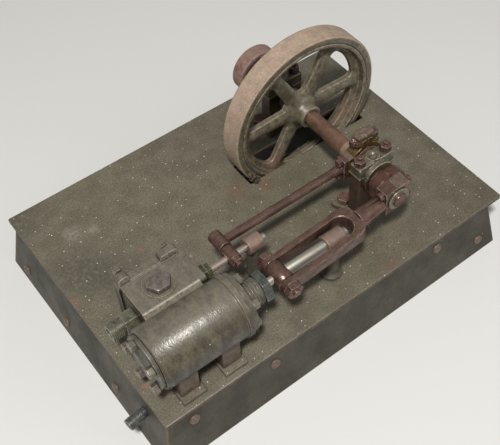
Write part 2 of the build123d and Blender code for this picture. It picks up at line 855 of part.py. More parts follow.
with BuildPart() as crosshead_pins:
    for side in (-1, 1):
        pin_axis = Plane(origin=(crosshead_x, engine_y, shaft_z), x_dir=(1, 0, 0), z_dir=(0, side, 0))
        stud_end = fork_half_width + crosshead_nut_length + crosshead_stud_rise
        add(turned(
            pin_axis,
            (pin_inner, 0),
            (pin_inner, crosshead_pin_radius),
            (fork_half_width, crosshead_pin_radius),
            (fork_half_width, crosshead_stud_radius),
            (stud_end, crosshead_stud_radius),
            (stud_end, 0),
        ))
        nut_seat = pin_axis.offset(fork_half_width)
        add(hexagon(nut_seat, crosshead_nut_flats, crosshead_nut_length, crown=head_crown))
save(crosshead_pins.part, "crosshead_pins")

pin_start = crank_disc_offset - crank_web_rise - part_gap

crankpin = turned(
    across_shaft(engine_y, crankpin_x, crankpin_z),
    (-pin_start, 0),
    (-pin_start, crankpin_radius),
    (big_end_near, crankpin_radius),
    (big_end_near, crankpin_washer_radius),
    (big_end_near + crankpin_washer_thickness, crankpin_washer_radius),
    (big_end_near + crankpin_washer_thickness, crankpin_head_radius),
    (big_end_near + crankpin_washer_thickness + crankpin_head_length - crankpin_edge, crankpin_head_radius),
    (big_end_near + crankpin_washer_thickness + crankpin_head_length, crankpin_head_radius - crankpin_edge),
    (big_end_near + crankpin_washer_thickness + crankpin_head_length, 0),
)
save(crankpin, "crankpin")

# Crank disc, shaft, eccentric sheave, flywheel and pulley all turn together
collar_finish = wheel_offset - wheel_hub_width / 2
shaft_start_plane = Plane(origin=(shaft_x, engine_y, shaft_z), x_dir=(1, 0, 0), z_dir=(0, 1, 0))

crankshaft = turned(
    shaft_start_plane,
    (crank_disc_offset, 0),
    (crank_disc_offset, shaft_radius),
    (shaft_taper_start, shaft_radius),
    (collar_finish - shaft_collar_length, shaft_collar_radius),
    (collar_finish, shaft_collar_radius),
    (collar_finish, shaft_radius),
    (shaft_end_offset - shaft_edge, shaft_radius),
    (shaft_end_offset, shaft_radius - shaft_edge),
    (shaft_end_offset, 0),
)
save(crankshaft, "crankshaft")

with BuildPart() as crank_disc:
    add(turned(
        shaft_start_plane.offset(crank_disc_offset),
        (0, shaft_radius),
        (0, crank_disc_radius - crank_disc_edge),
        (crank_disc_edge, crank_disc_radius),
        (crank_disc_thickness - crank_disc_edge, crank_disc_radius),
        (crank_disc_thickness, crank_disc_radius - crank_disc_edge),
        (crank_disc_thickness, shaft_radius),
    ))
    with BuildSketch(across_shaft(crank_disc_front - crank_web_rise, crankpin_x, crankpin_z)):
        Circle(crank_web_radius)
    extrude(amount=-crank_web_rise - crank_disc_thickness)
    with BuildSketch(across_shaft(crank_disc_front)):
        Circle(shaft_radius)
    extrude(amount=-crank_disc_thickness, mode=Mode.SUBTRACT)
save(crank_disc.part, "crank_disc")

with BuildPart() as eccentric_sheave:
    with BuildSketch(across_shaft(strap_near, sheave_x, sheave_z)):
        Circle(sheave_radius)
    extrude(amount=-strap_width - part_gap)
    add(turned(
        shaft_start_plane.offset(strap_offset + strap_width / 2 + part_gap),
        (0, 0),
        (0, sheave_ring_radius),
        (sheave_ring_length, sheave_ring_radius),
        (sheave_ring_length, sheave_hub_radius),
        (sheave_hub_length - shaft_edge, sheave_hub_radius),
        (sheave_hub_length, sheave_hub_radius - shaft_edge),
        (sheave_hub_length, 0),
    ))
    with BuildSketch(across_shaft(strap_near)):
        Circle(shaft_radius)
    extrude(amount=-strap_width - part_gap - sheave_hub_length, mode=Mode.SUBTRACT)
save(eccentric_sheave.part, "eccentric_sheave")

# Flywheel: a turned rim, web and hub, with a window cast between each two spokes
half_rim = wheel_width / 2
half_web = web_thickness / 2
half_hub = wheel_hub_width / 2
wheel_middle = Plane(origin=(shaft_x, wheel_y, shaft_z), x_dir=(1, 0, 0), z_dir=(0, -1, 0))
half_outline = (
    (half_hub, shaft_radius),
    (half_hub, wheel_hub_radius - wheel_hub_edge),
    (half_hub - wheel_hub_edge, wheel_hub_radius),
    (half_web + wheel_hub_root - wheel_hub_radius, wheel_hub_radius),
    (half_web, wheel_hub_root),
    (half_web, rim_inner_radius),
    (half_rim, rim_inner_radius + rim_draft),
    (half_rim, rim_lip_radius - rim_groove_width / 2),
    (half_rim - rim_groove_depth, rim_lip_radius),
    (half_rim, rim_lip_radius + rim_groove_width / 2),
    (half_rim, wheel_radius - rim_edge),
    (half_rim - rim_edge, wheel_radius),
)
other_half = tuple((-height, radius) for height, radius in reversed(half_outline))

with BuildPart() as flywheel:
    add(turned(wheel_middle, *half_outline, *other_half))
    with BuildSketch(wheel_middle.offset(-half_web)) as windows:
        Circle(web_outer_radius)
        Circle(window_inner_radius, mode=Mode.SUBTRACT)
        with PolarLocations(0, spoke_count):
            Polygon(
                (0, -spoke_root_width / 2),
                (rim_inner_radius, -spoke_tip_width / 2),
                (rim_inner_radius, spoke_tip_width / 2),
                (0, spoke_root_width / 2),
                align=None,
                mode=Mode.SUBTRACT,
            )
        middle_radius = (window_inner_radius + web_outer_radius) / 2
        fillet(windows.vertices().filter_by(lambda v: v.X**2 + v.Y**2 < middle_radius**2), web_root_corner)
        tip_corners = windows.vertices().filter_by(lambda v: v.X**2 + v.Y**2 > (web_outer_radius - 1) ** 2)
        fillet(tip_corners, web_corner)
    extrude(amount=web_thickness, mode=Mode.SUBTRACT)
    for side in (-1, 1):
        web_faces = flywheel.faces().filter_by(lambda f: abs(f.center().Y - wheel_y - side * half_web) < 0.01)
        web_face = web_faces.sort_by(SortBy.AREA)[-1]
        window_wires = [wire for wire in web_face.inner_wires() if len(wire.edges()) > 2]
        window_edges = [edge for wire in window_wires for edge in wire.edges()]
        chamfer(window_edges, spoke_chamfer_side, spoke_chamfer_face, reference=web_face)
save(flywheel.part, "flywheel")

half_tread = pulley_width / 2
pulley_outline = (
    (half_tread, shaft_radius),
    (half_tread, pulley_hub_radius),
    (half_tread - pulley_recess, pulley_hub_radius),
    (half_tread - pulley_recess, pulley_radius - pulley_rim),
    (half_tread, pulley_radius - pulley_rim),
    (half_tread, pulley_radius - pulley_edge),
    (half_tread - pulley_edge, pulley_radius),
)
other_outline = tuple((-height, radius) for height, radius in reversed(pulley_outline))
save(turned(across_shaft(pulley_y), *pulley_outline, *other_outline), "pulley")


# Bearings: a pedestal bolted to the plate, thin packing plates and a cap held by two studs
def bearing_boss(middle_y, side, low, high):
    """Round boss around the shaft on one side of a bearing, between two heights."""
    reach = 2 * bearing_boss_radius
    with BuildPart() as boss:
        with BuildSketch(across_shaft(middle_y + side * bearing_half_width)):
            Circle(bearing_boss_radius)
            with Locations((0, low - shaft_z - reach / 2), (0, high - shaft_z + reach / 2)):
                Rectangle(2 * reach, reach, mode=Mode.SUBTRACT)
        extrude(amount=-side * bearing_boss_rise)
    return boss.part


def shaft_bore(middle_y):
    """Room for the shaft, longer than a bearing with its bosses."""
    with BuildPart() as bore:
        with BuildSketch(across_shaft(middle_y + 2 * bearing_half_width)):
            Circle(shaft_radius + running_gap)
        extrude(amount=4 * bearing_half_width)
    return bore.part


def bearing_pedestal(middle_y, boss_sides):
    split_z = base_height + bearing_split
    near = -bearing_half_width
    far = bearing_half_width + bearing_foot_reach
    waist = bearing_column_half_length + bearing_corner
    with BuildPart() as pedestal:
        with BuildSketch(Plane.XY.offset(base_height)) as foot:
            with Locations((shaft_x, middle_y)):
                Polygon(
                    (-bearing_column_half_length, near),
                    (bearing_column_half_length, near),
                    (waist, near + bearing_foot_start),
                    (bearing_foot_half_length, near + bearing_foot_taper),
                    (bearing_foot_half_length, far),
                    (-bearing_foot_half_length, far),
                    (-bearing_foot_half_length, near + bearing_foot_taper),
                    (-waist, near + bearing_foot_start),
                    align=None,
                )
            fillet(foot.vertices().filter_by(lambda v: v.Y > middle_y + far - 0.1), bearing_foot_corner)
        extrude(amount=bearing_foot_thickness)
        with BuildSketch(Plane.XY.offset(base_height)):
            with Locations((shaft_x, middle_y)):
                RectangleRounded(2 * bearing_column_half_length, 2 * bearing_half_width, bearing_corner)
        extrude(amount=bearing_split)
        for side in boss_sides:
            add(bearing_boss(middle_y, side, shaft_z - bearing_boss_radius, split_z))
        add(shaft_bore(middle_y), mode=Mode.SUBTRACT)
    return pedestal.part


def bearing_cap(middle_y, boss_sides):
    cap_bottom = base_height + bearing_split + bearing_shim
    cap_height = bearing_cap_top - bearing_split - bearing_shim
    with BuildPart() as cap:
        with BuildSketch(Plane.XY.offset(cap_bottom)):
            with Locations((shaft_x, middle_y)):
                RectangleRounded(2 * bearing_cap_half_length, 2 * bearing_half_width, bearing_corner)
        extrude(amount=cap_height)
        chamfer(cap.faces().sort_by(Axis.Z)[-1].edges(), bearing_cap_edge)
        for side in boss_sides:
            add(bearing_boss(middle_y, side, cap_bottom, shaft_z + bearing_boss_radius))
        add(turned(
            Plane(origin=(shaft_x, middle_y, cap_bottom + cap_height)),
            (-cap_height / 2, 0),
            (-cap_height / 2, oil_cup_radius),
            (oil_cup_rise, oil_cup_radius),
            (oil_cup_rise, oil_cup_inner),
            (0, oil_hole_radius),
            (0, 0),
        ))
        with BuildSketch(Plane.XY.offset(cap_bottom + cap_height)):
            with Locations((shaft_x, middle_y)):
                Circle(oil_hole_radius)
        extrude(amount=-cap_height, mode=Mode.SUBTRACT)
        add(shaft_bore(middle_y), mode=Mode.SUBTRACT)
    return cap.part


def bearing_packing(middle_y):
    with BuildPart() as packing:
        with BuildSketch(Plane.XY.offset(base_height + bearing_split)):
            with Locations((shaft_x, middle_y)):
                Rectangle(
                    2 * bearing_cap_half_length + 2 * bearing_shim_margin,
                    2 * bearing_half_width + 2 * bearing_shim_margin,
                )
                Rectangle(2 * shaft_radius, 4 * bearing_half_width, mode=Mode.SUBTRACT)
        extrude(amount=bearing_shim)
    return packing.part


save(bearing_pedestal(main_bearing_y, (-1,)), "main_bearing_pedestal")
save(bearing_cap(main_bearing_y, (-1,)), "main_bearing_cap")
save(bearing_pedestal(outboard_bearing_y, ()), "outboard_bearing_pedestal")
save(bearing_cap(outboard_bearing_y, ()), "outboard_bearing_cap")

with BuildPart() as bearing_packings:
    add(bearing_packing(main_bearing_y))
    add(bearing_packing(outboard_bearing_y))
save(bearing_packings.part, "bearing_packings")

cap_face = base_height + bearing_cap_top

with BuildPart() as bearing_nuts:
    for middle_y in (main_bearing_y, outboard_bearing_y):
        for side in (-1, 1):
            cap_seat = Plane(origin=(shaft_x + side * bearing_stud_spread, middle_y, cap_face))
            foot_seat = Plane(
                origin=(
                    shaft_x + side * foot_bolt_spread,
                    middle_y + bearing_half_width + bearing_foot_reach / 2,
                    base_height + bearing_foot_thickness,
                )
            )
            add(hexagon(cap_seat, bearing_nut_flats, bearing_nut_height))
            add(turned(
                cap_seat,
                (0, 0),
                (0, bearing_stud_radius),
                (bearing_nut_height + bearing_stud_rise, bearing_stud_radius),
                (bearing_nut_height + bearing_stud_rise, 0),
            ))
            add(hexagon(foot_seat, foot_nut_flats, foot_nut_height))
save(bearing_nuts.part, "bearing_nuts")

# Eccentric strap in two halves, bolted above and below, and its rod
flange_right = sheave_x - strap_pad_reach


def strap_half(direction):
    """Half of the strap on the -X side or the +X side of its vertical split."""
    reach = 2 * strap_lug_height
    with BuildPart() as half:
        with BuildSketch(across_shaft(strap_near, sheave_x, sheave_z)) as outline:
            Circle(strap_radius)
            Rectangle(2 * strap_lug_half_length, 2 * strap_lug_height)
            if direction < 0:
                with Locations((-strap_pad_reach / 2, 0)):
                    Rectangle(strap_pad_reach, 2 * rod_flange_half_height)
            Circle(sheave_radius + running_gap, mode=Mode.SUBTRACT)
            with Locations((-direction * (reach - strap_split_gap) / 2, 0)):
                Rectangle(reach, 2 * reach, mode=Mode.SUBTRACT)
            lug_ends = outline.vertices().filter_by(lambda v: abs(v.Y) > strap_lug_height - 0.1)
            fillet(lug_ends.filter_by(lambda v: abs(v.X) > strap_lug_half_length - 0.1), strap_lug_corner)
        extrude(amount=-strap_width)
    return half.part


save(strap_half(-1), "eccentric_strap")
save(strap_half(1), "eccentric_strap_cap")

with BuildPart() as strap_bolts:
    for side in (-1, 1):
        with BuildSketch(Plane.YZ.offset(sheave_x + side * strap_lug_half_length)):
            with Locations((strap_y, sheave_z)):
                with GridLocations(0, 2 * strap_bolt_height, 1, 2):
                    RegularPolygon(strap_bolt_flats / 2, 6, major_radius=False)
        extrude(amount=side * strap_bolt_head)
    with BuildSketch(Plane.YZ.offset(flange_right - rod_flange_thickness)):
        with Locations((strap_y, sheave_z)):
            with GridLocations(0, 2 * rod_flange_bolt_height, 1, 2):
                RegularPolygon(strap_bolt_flats / 2, 6, major_radius=False)
    extrude(amount=-strap_bolt_head)
save(strap_bolts.part, "strap_bolts")

flange_left = flange_right - rod_flange_thickness
rod_length = flange_left - valve_pin_x

with BuildPart() as eccentric_rod:
    with BuildSketch(Plane.YZ.offset(flange_right)):
        with Locations((strap_y, sheave_z)):
            RectangleRounded(strap_width, 2 * rod_flange_half_height, rod_flange_corner)
    extrude(amount=-rod_flange_thickness)
    add(turned(
        Plane(origin=(valve_pin_x, strap_y, sheave_z), x_dir=(0, 1, 0), z_dir=(1, 0, 0)),
        (0, 0),
        (0, eccentric_rod_radius),
        (rod_length - eccentric_rod_taper, eccentric_rod_radius),
        (rod_length, eccentric_rod_root),
        (rod_length, 0),
    ))
save(eccentric_rod.part, "eccentric_rod")

valve_face = valve_y + valve_crosshead_far
valve_body_width = valve_crosshead_near + valve_crosshead_far
valve_stud_width = valve_body_width + valve_pin_nut_length + valve_pin_rise

with BuildPart() as valve_crosshead:
    add(turned(
        across_shaft(valve_face, valve_pin_x),
        (0, 0),
        (0, valve_crosshead_radius),
        (valve_body_width - valve_crosshead_edge, valve_crosshead_radius),
        (valve_body_width, valve_crosshead_radius - valve_crosshead_edge),
        (valve_body_width, valve_pin_radius),
        (valve_stud_width, valve_pin_radius),
        (valve_stud_width, 0),
    ))
    nut_seat = across_shaft(valve_y - valve_crosshead_near, valve_pin_x)
    add(hexagon(nut_seat, valve_pin_nut_flats, valve_pin_nut_length))
    with BuildSketch(across_rod(valve_pin_x - valve_crosshead_radius, valve_y)):
        Circle(valve_rod_radius)
    extrude(amount=2 * valve_crosshead_radius, mode=Mode.SUBTRACT)
save(valve_crosshead.part, "valve_crosshead")

with BuildPart() as eccentric_rod_eye:
    add(turned(
        Plane(origin=(valve_pin_x, valve_face + part_gap, sheave_z), x_dir=(1, 0, 0), z_dir=(0, 1, 0)),
        (0, 0),
        (0, valve_crosshead_radius),
        (eye_length - valve_crosshead_edge, valve_crosshead_radius),
        (eye_length, valve_crosshead_radius - valve_crosshead_edge),
        (eye_length, 0),
    ))
    with BuildSketch(Plane.YZ.offset(valve_pin_x)):
        with Locations((strap_y, sheave_z)):
            Circle(eccentric_rod_radius)
    extrude(amount=2 * valve_crosshead_radius, mode=Mode.SUBTRACT)
save(eccentric_rod_eye.part, "eccentric_rod_eye")

valve_rod_left = chest_right - valve_rod_in_chest / 2
valve_rod_right = plate_left + valve_guide_start + valve_guide_length + valve_rod_past_guide

valve_rod = turned(
    across_rod(valve_rod_left, valve_y),
    (0, 0),
    (0, valve_rod_radius),
    (valve_rod_right - valve_rod_left - rod_edge, valve_rod_radius),
    (valve_rod_right - valve_rod_left, valve_rod_radius - rod_edge),
    (valve_rod_right - valve_rod_left, 0),
)
save(valve_rod, "valve_rod")
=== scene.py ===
"""Looks of a small horizontal steam engine that stands on a painted sheet-steel box base."""

import json
import math

import bmesh
import bpy
from mathutils import Matrix, Vector, noise

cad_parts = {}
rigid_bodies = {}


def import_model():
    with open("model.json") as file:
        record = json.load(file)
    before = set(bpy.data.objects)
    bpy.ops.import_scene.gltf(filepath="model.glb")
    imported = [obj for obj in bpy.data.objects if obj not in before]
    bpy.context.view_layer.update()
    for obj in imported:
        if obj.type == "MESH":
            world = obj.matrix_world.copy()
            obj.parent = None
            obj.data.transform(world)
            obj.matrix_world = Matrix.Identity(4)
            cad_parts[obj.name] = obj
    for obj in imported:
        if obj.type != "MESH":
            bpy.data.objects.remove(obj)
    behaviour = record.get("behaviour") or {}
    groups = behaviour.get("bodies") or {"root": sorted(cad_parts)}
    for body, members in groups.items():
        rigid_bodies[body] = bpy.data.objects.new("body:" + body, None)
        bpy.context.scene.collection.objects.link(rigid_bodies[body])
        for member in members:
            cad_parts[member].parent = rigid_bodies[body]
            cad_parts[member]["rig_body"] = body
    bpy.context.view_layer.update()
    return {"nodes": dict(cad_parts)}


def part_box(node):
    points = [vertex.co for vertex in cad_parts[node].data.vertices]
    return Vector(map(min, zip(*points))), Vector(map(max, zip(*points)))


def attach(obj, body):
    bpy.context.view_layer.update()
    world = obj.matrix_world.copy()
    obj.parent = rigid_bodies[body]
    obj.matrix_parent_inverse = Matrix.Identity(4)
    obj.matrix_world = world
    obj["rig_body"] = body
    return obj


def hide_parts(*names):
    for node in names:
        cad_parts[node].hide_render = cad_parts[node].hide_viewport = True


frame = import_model()

# Base plate
# One sheet of 3.2 mm steel, cut out for the flywheel and brushed with thin olive paint.
# The paint is dull and dusty now, rubbed through to brown steel along the edges, with a few rust spots.
MM = 0.001
broken_edge = 0.25
softened_from = math.radians(50)
smooth_up_to = math.radians(35)
merge_distance = 0.002
flat_within = math.radians(0.4)
chip_size = 2.2
# How far the painted shade in corners looks for nearby surfaces, in millimetres
corner_reach = 3.0


def linear(code):
    """Turn a colour written as sRGB hex into linear values."""
    parts = [int(code[at:at + 2], 16) / 255 for at in (0, 2, 4)]
    return [part / 12.92 if part <= 0.04045 else ((part + 0.055) / 1.055) ** 2.4 for part in parts] + [1.0]


def add(tree, kind, inputs=None, **settings):
    """Add one node. Inputs are values, or sockets to link from."""
    node = tree.nodes.new(kind)
    for name, value in settings.items():
        setattr(node, name, value)
    for name, value in (inputs or {}).items():
        if isinstance(value, bpy.types.NodeSocket):
            tree.links.new(value, node.inputs[name])
        else:
            node.inputs[name].default_value = value
    return node


def weathered(name, coat, shade, worn, rust, roughness, metal=0.0, edge=0.7, patch=9.0, grain=0.7,
              relief=0.05, rusting=0.3, wear=0.8, dust=None, underside_shade=None, streak=(1, 1, 1), marks=(),
              rubbed_and_highlight_bands=(), specks=None, contrast=0.22):
    """Old paint or scale on metal, in two tones, with rubbed edges, rust, dust, marks, white specks and
    painted shade in corners.

    Edge, patch, grain and relief are millimetres. A mark is x, y, z, its radius, a colour and a strength.
    Dust lies on faces that look up, and faces that look down are darkened with a painted shade. A band is a
    pale line along X, partly rubbed paint and partly a painted highlight: its y, its half width, the height
    that it starts from, a colour and a strength.
    """
    material = bpy.data.materials.new(name)
    material.use_nodes = True
    tree = material.node_tree
    tree.nodes.clear()
    place = add(tree, "ShaderNodeTexCoord").outputs["Object"]
    facing = add(tree, "ShaderNodeNewGeometry").outputs["Normal"]
    soft = add(tree, "ShaderNodeBevel", {"Radius": edge * MM}, samples=6).outputs["Normal"]
    drawn = add(tree, "ShaderNodeMapping", {"Vector": place, "Scale": streak}).outputs["Vector"]
    patches = add(tree, "ShaderNodeTexNoise", {
        "Vector": drawn, "Scale": 1 / (patch * MM), "Detail": 6.0, "Roughness": 0.62}).outputs["Fac"]
    grit = add(tree, "ShaderNodeTexNoise", {
        "Vector": drawn, "Scale": 1 / (grain * MM), "Detail": 3.0}).outputs["Fac"]
    blots = add(tree, "ShaderNodeTexNoise", {
        "Vector": place, "Scale": 1.7 / (patch * MM), "Detail": 7.0, "Roughness": 0.7}).outputs["Fac"]
    chips = add(tree, "ShaderNodeTexNoise", {
        "Vector": place, "Scale": 1 / (chip_size * MM), "Detail": 4.0}).outputs["Fac"]

    tone = add(tree, "ShaderNodeMapRange", {
        "Value": patches, "From Min": 0.4, "From Max": 0.6}).outputs["Result"]
    colour = add(tree, "ShaderNodeMixRGB", {
        "Fac": tone, "Color1": linear(coat), "Color2": linear(shade)}).outputs["Color"]
    light = add(tree, "ShaderNodeMapRange", {
        "Value": grit, "From Min": 0.3, "From Max": 0.7, "To Min": 1.0 - contrast,
        "To Max": 1.0 + contrast}).outputs["Result"]
    colour = add(tree, "ShaderNodeVectorMath", {"Vector": colour, "Scale": light},
                 operation="SCALE").outputs["Vector"]

    rust_start = 0.68 - 0.3 * rusting
    rusted = add(tree, "ShaderNodeMapRange", {
        "Value": blots, "From Min": rust_start, "From Max": rust_start + 0.07,
        "To Max": 0.85}).outputs["Result"]
    colour = add(tree, "ShaderNodeMixRGB", {
        "Fac": rusted, "Color1": colour, "Color2": linear(rust)}).outputs["Color"]

    upward_part = add(tree, "ShaderNodeSeparateXYZ", {"Vector": facing}).outputs["Z"]
    if dust:
        lying = add(tree, "ShaderNodeMapRange", {
            "Value": upward_part, "From Min": 0.55, "From Max": 1.0, "To Max": dust[1]}).outputs["Result"]
        uneven = add(tree, "ShaderNodeMapRange", {
            "Value": blots, "From Min": 0.35, "From Max": 0.6, "To Min": 0.45}).outputs["Result"]
        dusty = add(tree, "ShaderNodeMath", {0: lying, 1: uneven}, operation="MULTIPLY").outputs["Value"]
        colour = add(tree, "ShaderNodeMixRGB", {
            "Fac": dusty, "Color1": colour, "Color2": linear(dust[0])}).outputs["Color"]
    # Painted shade: faces that look down are darkened towards the given colour, unevenly in patches.
    if underside_shade:
        looking_down = add(tree, "ShaderNodeMapRange", {
            "Value": upward_part, "From Min": 0.5, "From Max": 0.0, "To Max": underside_shade[1]}).outputs["Result"]
        uneven = add(tree, "ShaderNodeMapRange", {
            "Value": patches, "From Min": 0.3, "From Max": 0.6, "To Min": 0.6}).outputs["Result"]
        shaded_below = add(tree, "ShaderNodeMath", {0: looking_down, 1: uneven}, operation="MULTIPLY").outputs["Value"]
        colour = add(tree, "ShaderNodeMixRGB", {
            "Fac": shaded_below, "Color1": colour, "Color2": linear(underside_shade[0])}).outputs["Color"]

    for x, y, z, radius, mark_colour, strength in marks:
        away = add(tree, "ShaderNodeVectorMath", {
            0: place, 1: (x * MM, y * MM, z * MM)}, operation="DISTANCE").outputs["Value"]
        near = add(tree, "ShaderNodeMapRange", {
            "Value": away, "From Min": radius * MM, "From Max": radius * 0.25 * MM,
            "To Max": 1.0}).outputs["Result"]
        torn = add(tree, "ShaderNodeMapRange", {
            "Value": chips, "From Min": 0.36, "From Max": 0.56, "To Max": strength}).outputs["Result"]
        shown = add(tree, "ShaderNodeMath", {0: near, 1: torn}, operation="MULTIPLY").outputs["Value"]
        colour = add(tree, "ShaderNodeMixRGB", {
            "Fac": shown, "Color1": colour, "Color2": linear(mark_colour)}).outputs["Color"]

    # Each band is a pale line, partly rubbed paint and partly a painted highlight along an edge.
    for y, half_width, above, band_colour, strength in rubbed_and_highlight_bands:
        spot = add(tree, "ShaderNodeSeparateXYZ", {"Vector": place}).outputs
        away = add(tree, "ShaderNodeMath", {0: spot["Y"], 1: y * MM}, operation="SUBTRACT").outputs["Value"]
        away = add(tree, "ShaderNodeMath", {0: away}, operation="ABSOLUTE").outputs["Value"]
        near = add(tree, "ShaderNodeMapRange", {
            "Value": away, "From Min": half_width * MM,
            "From Max": half_width * 0.3 * MM}).outputs["Result"]
        high = add(tree, "ShaderNodeMath", {
            0: spot["Z"], 1: above * MM}, operation="GREATER_THAN").outputs["Value"]
        torn = add(tree, "ShaderNodeMapRange", {
            "Value": chips, "From Min": 0.32, "From Max": 0.55, "To Min": 0.25, "To Max": strength})
        shown = add(tree, "ShaderNodeMath", {0: near, 1: high}, operation="MULTIPLY").outputs["Value"]
        shown = add(tree, "ShaderNodeMath", {
            0: shown, 1: torn.outputs["Result"]}, operation="MULTIPLY").outputs["Value"]
        colour = add(tree, "ShaderNodeMixRGB", {
            "Fac": shown, "Color1": colour, "Color2": linear(band_colour)}).outputs["Color"]

    # Painted shade: the colour darkens where nearby surfaces hem it in, in corners, recesses and between
    # parts.
    openness = add(tree, "ShaderNodeAmbientOcclusion", {
        "Distance": corner_reach * MM}, samples=6).outputs["AO"]
    corner_shade = add(tree, "ShaderNodeMapRange", {
        "Value": openness, "From Min": 0.25, "From Max": 0.85, "To Min": 0.4,
        "To Max": 1.0}).outputs["Result"]
    colour = add(tree, "ShaderNodeVectorMath", {"Vector": colour, "Scale": corner_shade},
                 operation="SCALE").outputs["Vector"]

    bend = add(tree, "ShaderNodeVectorMath", {0: soft, 1: facing}, operation="DOT_PRODUCT").outputs["Value"]
    edges = add(tree, "ShaderNodeMapRange", {
        "Value": bend, "From Min": 0.992, "From Max": 0.92, "To Max": wear}).outputs["Result"]
    rubbed = add(tree, "ShaderNodeMapRange", {
        "Value": chips, "From Min": 0.38, "From Max": 0.56, "To Min": 0.15}).outputs["Result"]
    rubbed = add(tree, "ShaderNodeMath", {0: edges, 1: rubbed}, operation="MULTIPLY").outputs["Value"]
    outer = add(tree, "ShaderNodeMapRange", {
        "Value": openness, "From Min": 0.55, "From Max": 0.8}).outputs["Result"]
    rubbed = add(tree, "ShaderNodeMath", {0: rubbed, 1: outer}, operation="MULTIPLY").outputs["Value"]
    colour = add(tree, "ShaderNodeMixRGB", {
        "Fac": rubbed, "Color1": colour, "Color2": linear(worn)}).outputs["Color"]

    if specks:
        speck_colour, cell, size, flat = specks
        crumbs = add(tree, "ShaderNodeTexVoronoi", {"Vector": place, "Scale": 1 / (cell * MM)},
                     voronoi_dimensions="2D" if flat else "3D")
        chance = add(tree, "ShaderNodeSeparateXYZ", {"Vector": crumbs.outputs["Color"]})
        reach = add(tree, "ShaderNodeMapRange", {
            "Value": chance.outputs["X"], "From Min": 0.45, "From Max": 1.0,
            "To Max": size / cell}).outputs["Result"]
        inside = add(tree, "ShaderNodeMath", {
            0: reach, 1: crumbs.outputs["Distance"]}, operation="SUBTRACT").outputs["Value"]
        shown = add(tree, "ShaderNodeMapRange", {
            "Value": inside, "From Min": 0.0, "From Max": 0.15 * size / cell}).outputs["Result"]
        colour = add(tree, "ShaderNodeMixRGB", {
            "Fac": shown, "Color1": colour, "Color2": linear(speck_colour)}).outputs["Color"]

    gloss = add(tree, "ShaderNodeMapRange", {
        "Value": patches, "From Min": 0.35, "From Max": 0.65, "To Min": roughness - 0.08,
        "To Max": roughness + 0.1}).outputs["Result"]
    gloss = add(tree, "ShaderNodeMath", {0: rusted, 1: 0.22, 2: gloss},
                operation="MULTIPLY_ADD").outputs["Value"]
    height = add(tree, "ShaderNodeMath", {0: patches, 1: 1.5, 2: grit},
                 operation="MULTIPLY_ADD").outputs["Value"]
    height = add(tree, "ShaderNodeMath", {0: rusted, 1: -0.4, 2: height},
                 operation="MULTIPLY_ADD").outputs["Value"]
    rough = add(tree, "ShaderNodeBump", {
        "Height": height, "Distance": relief * MM, "Normal": soft}).outputs["Normal"]
    shader = add(tree, "ShaderNodeBsdfPrincipled", {
        "Base Color": colour, "Roughness": gloss, "Metallic": metal, "Normal": rough})
    add(tree, "ShaderNodeOutputMaterial", {"Surface": shader.outputs["BSDF"]})
    return material


def finished(node, slot, *materials, soften=broken_edge):
    """Stand a merged, smooth-shaded copy of a CAD node in its place, with its sharp edges just broken."""
    source = frame["nodes"][node]
    shape = bmesh.new()
    shape.from_mesh(source.data)
    bmesh.ops.remove_doubles(shape, verts=shape.verts, dist=merge_distance * MM)
    bmesh.ops.dissolve_limit(shape, angle_limit=flat_within, verts=shape.verts, edges=shape.edges)
    mesh = bpy.data.meshes.new(node + "_finish")
    shape.to_mesh(mesh)
    shape.free()
    for material in materials:
        mesh.materials.append(material)
    mesh.shade_smooth()
    mesh.set_sharp_from_angle(angle=smooth_up_to)
    piece = bpy.data.objects.new(node + "_finish", mesh)
    bpy.context.scene.collection.objects.link(piece)
    if soften:
        edge = piece.modifiers.new("broken_edges", "BEVEL")
        edge.width = soften * MM
        edge.segments = 2
        edge.limit_method = "ANGLE"
        edge.angle_limit = softened_from
        edge.harden_normals = True
    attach(piece, source["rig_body"])
    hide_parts(node)
    return piece


def paint_faces(piece, material_index, chosen):
    """Give another of its materials to the faces of a piece whose middle and normal pass a test."""
    for face in piece.data.polygons:
        if chosen(face.center / MM, face.normal):
            face.material_index = material_index


plate_low, plate_high = (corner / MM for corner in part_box("base_plate"))


def on_plate(from_left, from_front):
    """A place on the plate's top, from its front left corner, in millimetres."""
    return (plate_low.x + from_left, plate_low.y + from_front, plate_high.z)


# Brushed oil paint on sheet steel: dull olive with a fine pebbled skin, and patches where it was handled
plate_paint = weathered(
    "brushed_olive_paint", "6b6555", "5f5949", "84604f", "6d5545", roughness=0.48, edge=0.8, patch=14.0,
    grain=1.1, relief=0.12, rusting=-0.05, wear=0.9, specks=("cbc5b7", 7.0, 0.52, True), contrast=0.36,
    marks=(
        (*on_plate(18, 140), 30.0, "4c493d", 0.75),
        (*on_plate(34, 122), 26.0, "4a473b", 0.75),
        (*on_plate(52, 112), 20.0, "4c493d", 0.6),
        (*on_plate(4, 205), 22.0, "4b493c", 0.7),
        (*on_plate(30, 172), 9.0, "938a7e", 0.55),
        (*on_plate(45, 165), 6.0, "938a7e", 0.5),
        (*on_plate(62, 128), 4.0, "8a6154", 0.6),
        (*on_plate(2, 118), 6.0, "85604f", 0.6),
        (*on_plate(6, 33), 3.5, "94634a", 0.7),
        (*on_plate(150, 130), 14.0, "6d5242", 0.6),
        (*on_plate(170, 120), 9.0, "73503f", 0.6),
        (*on_plate(118, 8), 14.0, "4f4a3e", 0.6),
        (*on_plate(196, 6), 12.0, "6f5344", 0.6),
        (*on_plate(250, 20), 16.0, "625c4c", 0.5),
        (*on_plate(230, 60), 12.0, "4f4a3d", 0.6),
    ),
)
plate_edge_rust = weathered(
    "rusty_plate_edge", "4c3c30", "392d24", "94735f", "5c3a2b", roughness=0.5, edge=0.8, patch=7.0,
    grain=0.9, relief=0.06, wear=0.7)
plate_top_facing = 0.7
base_plate = finished("base_plate", "sheet_paint", plate_paint, plate_edge_rust, soften=0.0)
paint_faces(base_plate, 1, lambda middle, normal: normal.z < plate_top_facing)

